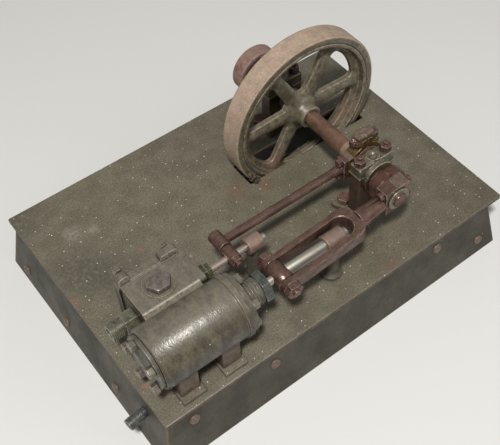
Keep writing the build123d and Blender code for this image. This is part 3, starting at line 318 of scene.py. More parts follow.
# Walls of the box
# Four folded sheets of 1.6 mm steel, flared towards the floor, in thicker and glossier dark olive paint.
# Dome-headed screws through the sheet hold them to a frame inside, and their paint is rubbed to brown.
wall_paint = weathered(
    "dark_olive_gloss_paint", "3d392b", "312e22", "94705f", "573c2d", roughness=0.56, edge=1.8, patch=26.0,
    grain=1.2, relief=0.10, rusting=0.14, wear=0.85, specks=("a9a498", 11.0, 0.5, False), contrast=0.28)
for wall in ("front_wall", "rear_wall", "left_end_wall", "right_end_wall"):
    finished(wall, "sheet_paint", wall_paint, soften=0.0)


def grown(name, mesh, tree, sizes):
    """Make a plain piece from a Geometry Nodes tree whose inputs are set by their identifiers."""
    piece = bpy.data.objects.new(name, mesh)
    bpy.context.scene.collection.objects.link(piece)
    maker = piece.modifiers.new("maker", "NODES")
    maker.node_group = tree
    for item in tree.interface.items_tree:
        if item.in_out == "INPUT" and item.name in sizes:
            maker[item.identifier] = sizes[item.name]
    bpy.context.view_layer.update()
    ready = piece.evaluated_get(bpy.context.evaluated_depsgraph_get())
    made = bpy.data.meshes.new_from_object(ready)
    piece.modifiers.remove(maker)
    piece.data = made
    return piece


# A slotted dome screw is half sunk in the sheet, a ball squashed to its rise and sawn across its top
saw_length = 2.6
saw_height = 1.1
screw_tree = bpy.data.node_groups.new("dome_screws", "GeometryNodeTree")
screw_tree.interface.new_socket("Seats", in_out="INPUT", socket_type="NodeSocketGeometry")
for size_name in ("Head radius", "Head rise", "Slot width"):
    screw_tree.interface.new_socket(size_name, in_out="INPUT", socket_type="NodeSocketFloat")
screw_tree.interface.new_socket("Seed", in_out="INPUT", socket_type="NodeSocketInt")
screw_tree.interface.new_socket("Finish", in_out="INPUT", socket_type="NodeSocketMaterial")
screw_tree.interface.new_socket("Screws", in_out="OUTPUT", socket_type="NodeSocketGeometry")
screw_inputs = add(screw_tree, "NodeGroupInput").outputs
head_size = add(screw_tree, "ShaderNodeCombineXYZ", {
    "X": screw_inputs["Head radius"], "Y": screw_inputs["Head radius"],
    "Z": screw_inputs["Head rise"]}).outputs["Vector"]
ball = add(screw_tree, "GeometryNodeMeshUVSphere", {
    "Segments": 24, "Rings": 12, "Radius": 1.0}).outputs["Mesh"]
slot_share = add(screw_tree, "ShaderNodeMath", {
    0: screw_inputs["Slot width"], 1: screw_inputs["Head radius"]}, operation="DIVIDE").outputs["Value"]
slot_size = add(screw_tree, "ShaderNodeCombineXYZ", {
    "X": saw_length, "Y": slot_share, "Z": 1.0}).outputs["Vector"]
saw = add(screw_tree, "GeometryNodeMeshCube", {"Size": slot_size}).outputs["Mesh"]
saw = add(screw_tree, "GeometryNodeTransform", {
    "Geometry": saw, "Translation": (0, 0, saw_height)}).outputs["Geometry"]
head = add(screw_tree, "GeometryNodeMeshBoolean", {"Mesh 1": ball, "Mesh 2": saw},
           operation="DIFFERENCE").outputs["Mesh"]
head = add(screw_tree, "GeometryNodeTransform", {
    "Geometry": head, "Scale": head_size}).outputs["Geometry"]
seat_facing = add(screw_tree, "GeometryNodeInputNamedAttribute", {"Name": "facing"},
                  data_type="FLOAT_VECTOR").outputs["Attribute"]
seat_turn = add(screw_tree, "FunctionNodeAlignRotationToVector", {"Vector": seat_facing},
                axis="Z").outputs["Rotation"]
heads = add(screw_tree, "GeometryNodeInstanceOnPoints", {
    "Points": screw_inputs["Seats"], "Instance": head, "Rotation": seat_turn}).outputs["Instances"]
slot_turn = add(screw_tree, "FunctionNodeRandomValue", {
    "Min": (0, 0, 0), "Max": (0, 0, math.pi),
    "Seed": screw_inputs["Seed"]}, data_type="FLOAT_VECTOR").outputs["Value"]
heads = add(screw_tree, "GeometryNodeRotateInstances", {
    "Instances": heads, "Rotation": slot_turn}).outputs["Instances"]
heads = add(screw_tree, "GeometryNodeRealizeInstances", {"Geometry": heads}).outputs["Geometry"]
heads = add(screw_tree, "GeometryNodeSetMaterial", {
    "Geometry": heads, "Material": screw_inputs["Finish"]}).outputs["Geometry"]
add(screw_tree, "NodeGroupOutput", {"Screws": heads})

# A wall leans in by its flare over its height, so a screw's seat and direction follow from its height
screw_paint = weathered(
    "rubbed_screw_paint", "6b5d4f", "52473b", "b59a88", "6b4535", roughness=0.38, patch=2.5,
    grain=0.5, relief=0.04, rusting=0.6, wear=0.9)
wall_flare = 8.0
wall_inset_front = 0.6
wall_inset_left = 0.6
wall_inset_right = 13.0
wall_inset_rear = 10.0
head_radius = 4.1
head_rise = 2.0
slot_width = 0.55
slot_seed = 7
wall_top = plate_low.z
front_top = plate_low.y + wall_inset_front
left_top = plate_low.x + wall_inset_left
right_top = plate_high.x - wall_inset_right
rear_top = plate_high.y - wall_inset_rear
lean = wall_flare / wall_top
screw_seats = []
for from_left, under in ((20, 8.6), (86, 9.5), (238, 7.5), (281.6, 28.6)):
    height = wall_top - under
    screw_seats.append(((plate_low.x + from_left, front_top - lean * under, height), (0, -1, lean)))
for from_front, under in ((62, 30), (130, 30), (190, 31)):
    height = wall_top - under
    screw_seats.append(((left_top - lean * under, plate_low.y + from_front, height), (-1, 0, lean)))
for from_front, under in ((30, 13), (100, 14), (180, 13)):
    height = wall_top - under
    screw_seats.append(((right_top + lean * under, plate_low.y + from_front, height), (1, 0, lean)))
for from_left, under in ((20, 13), (120, 13), (200, 13), (262, 13)):
    height = wall_top - under
    screw_seats.append(((plate_low.x + from_left, rear_top + lean * under, height), (0, 1, lean)))
seats = bpy.data.meshes.new("wall_screws")
seats.from_pydata([Vector(seat) * MM for seat, _ in screw_seats], [], [])
directions = seats.attributes.new("facing", "FLOAT_VECTOR", "POINT")
for index, (_, direction) in enumerate(screw_seats):
    directions.data[index].vector = Vector(direction).normalized()
wall_screws = grown("wall_screws", seats, screw_tree, {
    "Head radius": head_radius * MM, "Head rise": head_rise * MM, "Slot width": slot_width * MM,
    "Seed": slot_seed, "Finish": screw_paint})
wall_screws.data.shade_smooth()
wall_screws.data.set_sharp_from_angle(angle=smooth_up_to)
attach(wall_screws, "engine_bed")

# Cylinder
# The barrel and the steam chest are one iron casting, filed smooth, on four short legs with pads.
# Its thick olive paint has a greasy sheen and spots of rust. Its lower side and its corners are darkened
# with a painted shade in dark brown, and two pale lines along the chest's edges are partly rubbed paint,
# partly a painted highlight.
casting_paint = weathered(
    "oily_casting_paint", "5e5847", "443e31", "a8917f", "714b3b", roughness=0.33, metal=0.1, edge=0.9,
    # The dark brown on faces that look down is a painted shade.
    patch=8.0, grain=1.3, relief=0.16, rusting=0.16, wear=0.9, dust=("8b8678", 0.45), underside_shade=("2c261e", 0.8),
    streak=(1.5, 0.7, 0.7), specks=("d2cdc2", 10.0, 0.5, False), contrast=0.28,
    # The two pale lines along the chest's edges are partly rubbed paint, partly a painted highlight.
    rubbed_and_highlight_bands=((-58.2, 1.3, 98.0, "b3ab9a", 0.85), (-31.6, 1.0, 98.0, "a89f90", 0.7)))
finished("cylinder", "cylinder_paint", casting_paint)
leg_paint = weathered(
    "rusty_leg_paint", "5a4a3c", "463b2e", "9a8672", "6b4434", roughness=0.42, edge=0.8, patch=5.0,
    grain=0.8, relief=0.08, wear=0.85)
legs = finished("cylinder_feet", "cylinder_paint", leg_paint, plate_paint)
leg_pad_height = 3.1
pad_top = plate_high.z + leg_pad_height
paint_faces(legs, 1, lambda middle, normal: middle.z < pad_top)
# The covers' faces that look down are darkened with a painted shade.
cover_paint = weathered(
    "rubbed_cover_paint", "5b574b", "423f34", "b5a695", "6b4a3a", roughness=0.34, metal=0.15, edge=0.9,
    patch=4.5, grain=0.9, relief=0.09, rusting=0.15, wear=0.95, dust=("8a8577", 0.3), underside_shade=("332c23", 0.4))
finished("rear_cover", "cylinder_paint", cover_paint)
finished("front_cover", "cylinder_paint", cover_paint)

# The photographed ears are worn lower than the frame's
chest_cover = finished("chest_cover", "cylinder_paint", casting_paint)
ear_root = 101.5
ear_height_left = 0.62
for corner in chest_cover.data.vertices:
    rise = corner.co.z / MM - ear_root
    if rise > 0:
        corner.co.z -= rise * (1 - ear_height_left) * MM
bolt_steel = weathered(
    "painted_bolt_steel", "777063", "5c5548", "bfb2a2", "6b4b3c", roughness=0.36, metal=0.35, edge=0.6,
    patch=3.0, grain=0.6, rusting=0.12, wear=0.9)
finished("cover_bolts", "cylinder_paint", bolt_steel)
finished("chest_cover_bolts", "cylinder_paint", bolt_steel)
plug_steel = weathered(
    "bare_plug_steel", "857b73", "655b54", "c2b6ab", "6b4a40", roughness=0.33, metal=0.5, edge=0.6,
    patch=3.5, grain=0.6, rusting=0.15, wear=0.9)
finished("chest_plug", "cylinder_paint", plug_steel)
gland_steel = weathered(
    "grey_gland_steel", "64645f", "4b4c47", "b0aca2", "5d4b40", roughness=0.36, metal=0.5,
    patch=3.5, grain=0.6, rusting=0.1, wear=0.9)
finished("gland_nut", "cylinder_paint", gland_steel)
inlet_brass = weathered(
    "painted_inlet_brass", "6f6c5b", "4f4c3d", "b3a98e", "5c4a3a", roughness=0.36, metal=0.3, edge=0.6,
    patch=3.5, grain=0.6, rusting=0.1, wear=0.9)
finished("steam_inlet", "cylinder_paint", inlet_brass)
gland_brass = weathered(
    "rubbed_gland_brass", "58553f", "403e2e", "cfc8ae", "665340", roughness=0.28, metal=0.4, edge=0.9,
    patch=3.5, grain=0.6, rusting=0.08, wear=1.0)
finished("valve_gland", "cylinder_paint", gland_brass)

# A screwed stub shows its thread as one ridge wound round it
inlet_thread_start = 0.9
inlet_thread_radius = 5.9
inlet_thread_length = 7.6
inlet_thread_turns = 6.0
inlet_thread_ridge = 0.38
gland_ridges_start = -61.0
gland_ridges_radius = 9.9
gland_ridges_length = 8.5
gland_ridges_turns = 4.0
gland_ridges_size = 0.5
thread_tree = bpy.data.node_groups.new("thread_ridge", "GeometryNodeTree")
for size_name in ("Radius", "Length", "Turns", "Ridge"):
    thread_tree.interface.new_socket(size_name, in_out="INPUT", socket_type="NodeSocketFloat")
thread_tree.interface.new_socket("Finish", in_out="INPUT", socket_type="NodeSocketMaterial")
thread_tree.interface.new_socket("Thread", in_out="OUTPUT", socket_type="NodeSocketGeometry")
thread_inputs = add(thread_tree, "NodeGroupInput").outputs
spiral = add(thread_tree, "GeometryNodeCurveSpiral", {
    "Resolution": 32, "Rotations": thread_inputs["Turns"], "Start Radius": thread_inputs["Radius"],
    "End Radius": thread_inputs["Radius"], "Height": thread_inputs["Length"]}).outputs["Curve"]
crest = add(thread_tree, "GeometryNodeCurvePrimitiveCircle", {
    "Resolution": 8, "Radius": thread_inputs["Ridge"]}).outputs["Curve"]
ridge = add(thread_tree, "GeometryNodeCurveToMesh", {
    "Curve": spiral, "Profile Curve": crest, "Fill Caps": True}).outputs["Mesh"]
ridge = add(thread_tree, "GeometryNodeRealizeInstances", {"Geometry": ridge}).outputs["Geometry"]
ridge = add(thread_tree, "GeometryNodeSetMaterial", {
    "Geometry": ridge, "Material": thread_inputs["Finish"]}).outputs["Geometry"]
add(thread_tree, "NodeGroupOutput", {"Thread": ridge})


def threaded(name, start, direction, sizes):
    """Wind a thread's ridge round a stub, from a place in millimetres along a direction."""
    thread = grown(name, bpy.data.meshes.new(name), thread_tree, sizes)
    turned = Vector(direction).to_track_quat("Z", "Y").to_matrix().to_4x4()
    thread.data.transform(Matrix.Translation(Vector(start) * MM) @ turned)
    thread.data.shade_smooth()
    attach(thread, "engine_bed")


inlet_low, inlet_high = (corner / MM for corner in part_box("steam_inlet"))
inlet_middle = (inlet_low + inlet_high) / 2
inlet_start = (inlet_low.x + inlet_thread_start, inlet_middle.y, inlet_middle.z)
threaded("inlet_thread", inlet_start, (1, 0, 0), {
    "Radius": inlet_thread_radius * MM, "Length": inlet_thread_length * MM, "Turns": inlet_thread_turns,
    "Ridge": inlet_thread_ridge * MM, "Finish": inlet_brass})

# The gland's boss on the front cover has ridges all round
rod_line_y, rod_line_z = ((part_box("piston_rod")[0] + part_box("piston_rod")[1]) / 2 / MM).yz
threaded("gland_boss_ridges", (gland_ridges_start, rod_line_y, rod_line_z), (1, 0, 0), {
    "Radius": gland_ridges_radius * MM, "Length": gland_ridges_length * MM, "Turns": gland_ridges_turns,
    "Ridge": gland_ridges_size * MM, "Finish": cover_paint})

# Piston rod, valve rod and their guides
# The rods are turned steel, kept bright by the bushes that they run in.
# Each bush is a plain bronze tube on a post that is screwed to the plate.
turning_ring = 0.5
stain_size = 5.0
ring_depth = 0.006
turned_metal = 0.75


def polished(name, bright, stain, roughness):
    """Turned steel: bright, with rings across the rod, drawn coarser than real ones, and brown stains."""
    material = bpy.data.materials.new(name)
    material.use_nodes = True
    tree = material.node_tree
    tree.nodes.clear()
    place = add(tree, "ShaderNodeTexCoord").outputs["Object"]
    along = add(tree, "ShaderNodeMapping", {"Vector": place, "Scale": (1.0, 0.12, 0.12)}).outputs["Vector"]
    rings = add(tree, "ShaderNodeTexNoise", {
        "Vector": along, "Scale": 1 / (turning_ring * MM), "Detail": 2.0}).outputs["Fac"]
    stains = add(tree, "ShaderNodeTexNoise", {
        "Vector": place, "Scale": 1 / (stain_size * MM), "Detail": 5.0, "Roughness": 0.65}).outputs["Fac"]
    stained = add(tree, "ShaderNodeMapRange", {
        "Value": stains, "From Min": 0.56, "From Max": 0.72, "To Max": 0.7}).outputs["Result"]
    colour = add(tree, "ShaderNodeMixRGB", {
        "Fac": stained, "Color1": linear(bright), "Color2": linear(stain)}).outputs["Color"]
    dull = add(tree, "ShaderNodeMath", {0: stained, 1: 0.25, 2: roughness},
               operation="MULTIPLY_ADD").outputs["Value"]
    uneven = add(tree, "ShaderNodeMath", {0: rings, 1: 0.12, 2: dull},
                 operation="MULTIPLY_ADD").outputs["Value"]
    ridged = add(tree, "ShaderNodeBump", {"Height": rings, "Distance": ring_depth * MM}).outputs["Normal"]
    shader = add(tree, "ShaderNodeBsdfPrincipled", {
        "Base Color": colour, "Roughness": uneven, "Metallic": turned_metal, "Normal": ridged})
    add(tree, "ShaderNodeOutputMaterial", {"Surface": shader.outputs["BSDF"]})
    return material


rod_steel = polished("turned_rod_steel", "aea89c", "7d6654", 0.36)

# Past the crosshead the photographed rod and its bush are thicker than the frame's, and the rod is longer
thick_from = -31.0
thick_step = 0.2
thick_scale = 1.42
bush_reach = 9.0
bush_scale = 1.08
bush_bore = 4.4
bore_reach = 4.0
end_from = 0.0
end_extra = 2.4
rod_axis = Vector((0.0, rod_line_y, rod_line_z)) * MM
piston_rod = finished("piston_rod", "bright_steel", rod_steel)
shape = bmesh.new()
shape.from_mesh(piston_rod.data)
for cut in (thick_from, thick_from + thick_step):
    bmesh.ops.bisect_plane(shape, geom=shape.verts[:] + shape.edges[:] + shape.faces[:],
                           plane_co=(cut * MM, 0, 0), plane_no=(1, 0, 0))
for corner in shape.verts:
    if corner.co.x > (thick_from + thick_step / 2) * MM:
        out = corner.co - rod_axis
        out.x = 0.0
        corner.co += out * (thick_scale - 1)
    if corner.co.x > end_from * MM:
        corner.co.x += end_extra * MM
shape.to_mesh(piston_rod.data)
shape.free()
piston_rod.data.set_sharp_from_angle(angle=smooth_up_to)
finished("piston", "bright_steel", rod_steel)
finished("valve_rod", "bright_steel", polished("turned_valve_rod_steel", "aea093", "84695a", 0.34))
bush_bronze = weathered(
    "dull_bronze_bush", "8f7769", "7a6358", "b39f92", "6f5145", roughness=0.4, metal=0.35, edge=0.6,
    patch=4.0, grain=0.6, relief=0.04, rusting=0.15, dust=("9c8b80", 0.35))
bushes = finished("guide_bushes", "rusty_steel", bush_bronze)
for corner in bushes.data.vertices:
    out = corner.co - rod_axis
    out.x = 0.0
    if out.length > bush_reach * MM:
        continue
    if out.length < bore_reach * MM:
        corner.co += out.normalized() * bush_bore * MM - out
    else:
        corner.co += out * (bush_scale - 1)
post_steel = weathered(
    "painted_post_steel", "5f5a4d", "4c473b", "8f8478", "5f4436", roughness=0.45, metal=0.2, edge=0.6,
    patch=4.0, rusting=0.25, wear=0.7)
posts = finished("guide_posts", "rusty_steel", post_steel, plate_paint)
post_foot_height = 2.1
post_foot_top = plate_high.z + post_foot_height
paint_faces(posts, 1, lambda middle, normal: middle.z < post_foot_top)

# Crosshead and connecting rod
# The fork is filed from one steel bar, with a turned shank into a split big end.
# All of it has gone purple brown, rubbed to bare metal along the edges, with a thin film of oil.
rod_brown = weathered(
    "browned_rod_steel", "644b41", "4a362d", "b59a8b", "6a3e2e", roughness=0.3, metal=0.35, edge=0.9,
    patch=4.5, grain=0.8, relief=0.08, rusting=0.25, wear=0.95, dust=("8d7769", 0.15),
    streak=(0.6, 1.0, 1.0), contrast=0.3)
connecting_rod = finished("connecting_rod", "rusty_steel", rod_brown)

# The photographed fork has shorter prongs than the frame's, so its arch is drawn back along the rod.
# The shank behind it is thicker. Distances along the rod start at the crosshead's pins.
arch_shift = 3.8
arch_from = 30.0
arch_to = 71.9
shank_from = 67.9
shank_to = 88.5
shank_reach = 7.0
shank_swell = 0.45
pins_low, pins_high = (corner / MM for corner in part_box("crosshead_pins"))
pin_low, pin_high = (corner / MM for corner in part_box("crankpin"))
rod_start = (pins_low + pins_high) / 2
crankpin_middle = (pin_low + pin_high) / 2
rod_line = Vector((crankpin_middle.x - rod_start.x, 0.0, crankpin_middle.z - rod_start.z)).normalized()
for corner in connecting_rod.data.vertices:
    from_pins = corner.co / MM - rod_start
    along = from_pins.dot(rod_line)
    out = from_pins - rod_line * along
    if shank_from < along < shank_to and out.length < shank_reach:
        corner.co += out * shank_swell * MM
    if arch_from < along < arch_to:
        corner.co -= rod_line * arch_shift * MM
nut_brown = weathered(
    "browned_nut_steel", "674c42", "46332b", "b89a8b", "6e3e30", roughness=0.3, metal=0.35,
    patch=3.0, relief=0.07, wear=0.9, dust=("867066", 0.25))
finished("crosshead", "rusty_steel", nut_brown)
finished("crosshead_pins", "rusty_steel", nut_brown)
end_steel = weathered(
    "oily_big_end_steel", "6d5a4c", "514136", "b5a08c", "724436", roughness=0.34, metal=0.25, edge=0.8,
    patch=3.5, grain=0.6, wear=0.95, dust=("87786c", 0.3))
finished("big_end_cap", "rusty_steel", end_steel)
finished("big_end_bolts", "rusty_steel", nut_brown)
washer_steel = weathered(
    "pale_washer_steel", "8a8371", "706a59", "c6bda9", "6b4a3c", roughness=0.36, metal=0.5, edge=0.5,
    patch=3.0, grain=0.6, relief=0.04, rusting=0.1)
crankpin = finished("crankpin", "rusty_steel", nut_brown, washer_steel)
washer_front = pin_low.y + 2.1
washer_back = pin_low.y + 4.0
paint_faces(crankpin, 1, lambda middle, normal: washer_front < middle.y < washer_back)

# The pin's head is drawn smaller than the frame's, so that more of the pale washer shows round it
head_back = pin_low.y + 2.3
head_reach = 8.0
head_scale = 0.76
for corner in crankpin.data.vertices:
    out = corner.co / MM - crankpin_middle
    out.y = 0.0
    if corner.co.y / MM < head_back and out.length < head_reach:
        corner.co -= out * (1 - head_scale) * MM

# Crank disc and shaft
# A turned disc with a web for the crankpin, shrunk on a plain steel shaft. Both are rusty and oily.
disc_rust = weathered(
    "rusty_disc_steel", "5c3f32", "442e24", "a3816f", "743c2b", roughness=0.36, metal=0.2, edge=0.8,
    patch=3.0, grain=0.8, relief=0.12, rusting=0.36, wear=0.9, contrast=0.3)
crank_disc = finished("crank_disc", "rusty_steel", disc_rust)
shaft_brown = weathered(
    "browned_shaft_steel", "80624f", "62493c", "b09380", "704334", roughness=0.28, metal=0.4, edge=0.6,
    patch=4.0, grain=0.6, relief=0.04, rusting=0.25, dust=("93796d", 0.3), streak=(1.0, 0.6, 1.0))
crankshaft = finished("crankshaft", "rusty_steel", shaft_brown)

# From the eccentric on the photographed shaft is thinner than the frame's, and it flares only by the wheel
shaft_low, shaft_high = (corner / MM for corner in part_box("crankshaft"))
shaft_axis = (shaft_low + shaft_high) / 2 * MM
thin_from = shaft_low.y + 59.0
flare_from = shaft_low.y + 91.0
thin_radius = 5.8
cut_margin = 0.1
shape = bmesh.new()
shape.from_mesh(crankshaft.data)
for cut in (thin_from, flare_from):
    bmesh.ops.bisect_plane(shape, geom=shape.verts[:] + shape.edges[:] + shape.faces[:],
                           plane_co=(0, cut * MM, 0), plane_no=(0, 1, 0))
for corner in shape.verts:
    if thin_from + cut_margin < corner.co.y / MM < flare_from + cut_margin:
        out = corner.co - shaft_axis
        out.y = 0.0
        corner.co += out.normalized() * thin_radius * MM - out
shape.to_mesh(crankshaft.data)
shape.free()
crankshaft.data.set_sharp_from_angle(angle=smooth_up_to)

# The photographed disc is a little smaller than the frame's
disc_bore_reach = 7.0
disc_scale = 0.94
for corner in crank_disc.data.vertices:
    out = corner.co - shaft_axis
    out.y = 0.0
    if out.length > disc_bore_reach * MM:
        corner.co -= out * (1 - disc_scale)

# Bearings
# A cast pedestal bolted to the plate, thin packing plates, and a cap held by two studs with nuts.
# The caps keep their olive paint, worn bright along the edges; the pedestals are dark with oil and rust.
pedestal_iron = weathered(
    "dark_pedestal_iron", "463425", "33271c", "84694f", "60382a", roughness=0.45, metal=0.1, edge=0.8,
    patch=5.0, grain=0.8, relief=0.08, wear=0.85, dust=("77685a", 0.45))
pedestal_foot_height = 5.2
foot_top = plate_high.z + pedestal_foot_height
foot_top_facing = 0.5
for pedestal_name in ("main_bearing_pedestal", "outboard_bearing_pedestal"):
    pedestal = finished(pedestal_name, "cast_iron", pedestal_iron, leg_paint, plate_paint)
    paint_faces(pedestal, 2, lambda middle, normal: middle.z < foot_top and normal.z > foot_top_facing)
    paint_faces(pedestal, 1, lambda middle, normal: middle.z < foot_top and normal.z <= foot_top_facing)
# The caps' faces that look down are darkened with a painted shade.
cap_paint = weathered(
    "worn_cap_paint", "625d4b", "464232", "cdc1ab", "704d3a", roughness=0.33, metal=0.15, edge=0.9,
    patch=4.0, relief=0.08, rusting=0.22, wear=1.0, dust=("857e6c", 0.2), underside_shade=("4a3f2c", 0.5))
finished("main_bearing_cap", "cast_iron", cap_paint)
finished("outboard_bearing_cap", "cast_iron", cap_paint)
packing_steel = weathered(
    "packing_plate_steel", "9a8f80", "7c7265", "c4bbac", "6b4a3c", roughness=0.4, metal=0.5, edge=0.4,
    patch=3.0, grain=0.6, relief=0.03, rusting=0.1)
finished("bearing_packings", "cast_iron", packing_steel, soften=0.0)
foot_nut_rust = weathered(
    "pink_foot_nut_rust", "7d6257", "63493e", "c9ad9c", "7b4b3a", roughness=0.32, metal=0.3, edge=0.8,
    patch=3.0, relief=0.08, wear=0.95)
bearing_nuts = finished("bearing_nuts", "rusty_steel", nut_brown, foot_nut_rust)
foot_nut_reach = plate_high.z + 14.0
paint_faces(bearing_nuts, 1, lambda middle, normal: middle.z < foot_nut_reach)

# The photographed foot nuts are larger than the frame's, so each grows about its own middle
foot_nut_scale = 1.28
foot_nut_extra_height = 1.2
foot_nut_seat = 2.0
nuts_low, nuts_high = (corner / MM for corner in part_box("bearing_nuts"))
nuts_middle = (nuts_low + nuts_high) / 2
low_corners = [corner for corner in bearing_nuts.data.vertices if corner.co.z / MM < foot_nut_reach]
for left in (True, False):
    for near in (True, False):
        nut = [corner for corner in low_corners if (corner.co.x / MM < nuts_middle.x) == left
               and (corner.co.y / MM < nuts_middle.y) == near]
        nut_x = (min(corner.co.x for corner in nut) + max(corner.co.x for corner in nut)) / 2
        nut_y = (min(corner.co.y for corner in nut) + max(corner.co.y for corner in nut)) / 2
        nut_z = min(corner.co.z for corner in nut)
        for corner in nut:
            corner.co.x += (corner.co.x - nut_x) * (foot_nut_scale - 1)
            corner.co.y += (corner.co.y - nut_y) * (foot_nut_scale - 1)
            if corner.co.z > nut_z + foot_nut_seat * MM:
                corner.co.z += foot_nut_extra_height * MM

# Rough lumps of scale, grease and grit, the parts that stand out far enough to be shapes
lump_steps = 16
lump_cell = 3.2
lump_finer = 2.3
lump_finer_share = 0.5
lump_rough = 1.1
lump_shrink = 0.2
lump_squareness = 6


def crusted(name, boxes, body, slot, *materials):
    """Rough rounded blocks. A box is its two corners in millimetres and the number of its material."""
    mesh = bpy.data.meshes.new(name)
    whole = bmesh.new()
    for low, high, material_index in boxes:
        middle = (Vector(low) + Vector(high)) / 2
        half = (Vector(high) - Vector(low)) / 2
        block = bmesh.new()
        bmesh.ops.create_cube(block, size=2.0)
        bmesh.ops.subdivide_edges(block, edges=block.edges, cuts=lump_steps, use_grid_fill=True)
        for point in block.verts:
            rounding = sum(abs(part) ** lump_squareness for part in point.co) ** (1 / lump_squareness)
            out = Vector((part * size for part, size in zip(point.co, half))) / rounding
            place = middle + out
            swell = noise.noise(place / lump_cell)
            swell += lump_finer_share * noise.noise(place / lump_cell * lump_finer)
            point.co = (place + out.normalized() * (swell * lump_rough - lump_shrink)) * MM
        for face in block.faces:
            face.material_index = material_index
        block.to_mesh(mesh)
        block.free()
        whole.from_mesh(mesh)
    whole.to_mesh(mesh)
    whole.free()
    for material in materials:
        mesh.materials.append(material)
    mesh.shade_smooth()
    piece = bpy.data.objects.new(name, mesh)
    bpy.context.scene.collection.objects.link(piece)
    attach(piece, body)


# Old grease has nearly filled the oil holes on top of the bearing caps
grease_reach = 2.7
grease_bottom = -2.6
grease_top = -0.5
for cap_name in ("main_bearing_cap", "outboard_bearing_cap"):
    cap_low, cap_high = (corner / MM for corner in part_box(cap_name))
    hole = Vector(((cap_low.x + cap_high.x) / 2, (cap_low.y + cap_high.y) / 2, cap_high.z))
    grease_low = hole + Vector((-grease_reach, -grease_reach, grease_bottom))
    grease_high = hole + Vector((grease_reach, grease_reach, grease_top))
    crusted(cap_name + "_grease", ((grease_low, grease_high, 0),), "engine_bed", "cast_iron", cap_paint)

# Eccentric and valve gear
# A cast sheave turns in a split brass strap, from which a thin rod drives the slide valve.
# The strap has gone dark yellow brown, its bolts and the rod rusty, and the sheave's hub is tan.
strap_brass = weathered(
    "aged_strap_brass", "695230", "4c3b20", "b8974f", "5f3a28", roughness=0.36, metal=0.4, edge=0.8,
    patch=4.0, relief=0.06, rusting=0.2, wear=1.0, dust=("76684e", 0.2))
lug_rust = weathered(
    "scaly_lug_rust", "65503f", "43342a", "a8917c", "6f4a38", roughness=0.45, metal=0.1, edge=0.8,
    patch=2.2, grain=0.9, relief=0.3, rusting=0.25, dust=("87786a", 0.45), contrast=0.4)
strap_reach = 15.6
sheave_low, sheave_high = (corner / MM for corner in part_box("eccentric_sheave"))
sheave_middle = (sheave_low + sheave_high) / 2


def on_lug(middle, normal):
    """Whether a face of the strap lies outside its ring."""
    away = Vector((middle.x - sheave_middle.x, middle.z - sheave_middle.z)).length
    return away > strap_reach


for half in ("eccentric_strap", "eccentric_strap_cap"):
    strap = finished(half, "bearing_brass", strap_brass, lug_rust)
    paint_faces(strap, 1, on_lug)
finished("strap_bolts", "rusty_steel", nut_brown)

# Scale and old grease have built the upper lug up to a rough lump, with its bolt standing out at both ends.
# Each lump: left, right, bottom and top from the sheave's middle, half its width, its material's number.
strap_low, strap_high = (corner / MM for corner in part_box("eccentric_strap"))
strap_middle_y = (strap_low.y + strap_high.y) / 2
lug_lumps = (
    (-8.0, 9.0, 14.0, 25.0, 4.3, 0),
    (7.0, 13.5, 7.0, 15.0, 4.0, 1),
    (8.0, 13.4, 15.4, 21.2, 2.9, 2),
    (-11.2, -7.0, 16.2, 22.0, 2.9, 2),
)
lug_boxes = [
    ((sheave_middle.x + left, strap_middle_y - half_width, sheave_middle.z + bottom),
     (sheave_middle.x + right, strap_middle_y + half_width, sheave_middle.z + top), material_index)
    for left, right, bottom, top, half_width, material_index in lug_lumps]
crusted("strap_lug_scale", lug_boxes, "eccentric_rod", "rusty_steel", lug_rust, strap_brass, nut_brown)
sheave_iron = weathered(
    "tan_sheave_iron", "9c8470", "836d5b", "c4ae98", "7d5443", roughness=0.36, metal=0.3, edge=0.6,
    patch=3.5, rusting=0.22)
hub_gold = weathered(
    "brassy_hub_edge", "b08f55", "947343", "d8bd84", "7d5a3a", roughness=0.32, metal=0.5, edge=0.5,
    patch=3.0, grain=0.6, relief=0.03, rusting=0.1, wear=0.9)
sheave = finished("eccentric_sheave", "rusty_steel", sheave_iron, hub_gold)
gold_from = sheave_high.y - 1.1
paint_faces(sheave, 1, lambda middle, normal: middle.y > gold_from)

# The photographed sheave's hub is smaller than the frame's
hub_from = strap_high.y + 1.0
hub_reach = 8.0
hub_radius = 7.0
for corner in sheave.data.vertices:
    out = corner.co - shaft_axis
    out.y = 0.0
    if corner.co.y / MM > hub_from and out.length > hub_reach * MM:
        corner.co += out.normalized() * hub_radius * MM - out
finished("eccentric_rod", "rusty_steel", rod_brown)
finished("eccentric_rod_eye", "rusty_steel", nut_brown)
finished("valve_crosshead", "rusty_steel", nut_brown)

# Flywheel
# An iron casting with six ribbed spokes, turned on its rim. The tread was never painted and has
# a dry, pinkish tan bloom of dust and rust. The rest is in brushed olive paint, rubbed on every edge.
tread_iron = weathered(
    "dusty_tread_iron", "a8937f", "988370", "57503f", "6f6354", roughness=0.62, edge=1.6, patch=9.0,
    grain=1.0, relief=0.09, rusting=0.12, wear=0.75, specks=("dcd5c8", 9.0, 0.4, False))
wheel_paint = weathered(
    "rubbed_wheel_paint", "6f6856", "524b3b", "c6b09a", "7d5a48", roughness=0.32, metal=0.15, edge=1.6,
    patch=5.0, grain=0.9, relief=0.12, rusting=0.28, wear=1.0, dust=("8c8372", 0.3), contrast=0.3,
    marks=(
        (50.0, 27.4, 40.0, 22.0, "8b6c5d", 0.75),
        (112.0, 27.4, 60.0, 20.0, "9a7c6c", 0.8),
        (85.0, 27.4, 62.0, 13.0, "a28d7c", 0.6),
    ))
flywheel = finished("flywheel", "cast_iron", wheel_paint, tread_iron)
wheel_low, wheel_high = (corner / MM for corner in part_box("flywheel"))
wheel_middle = (wheel_low + wheel_high) / 2
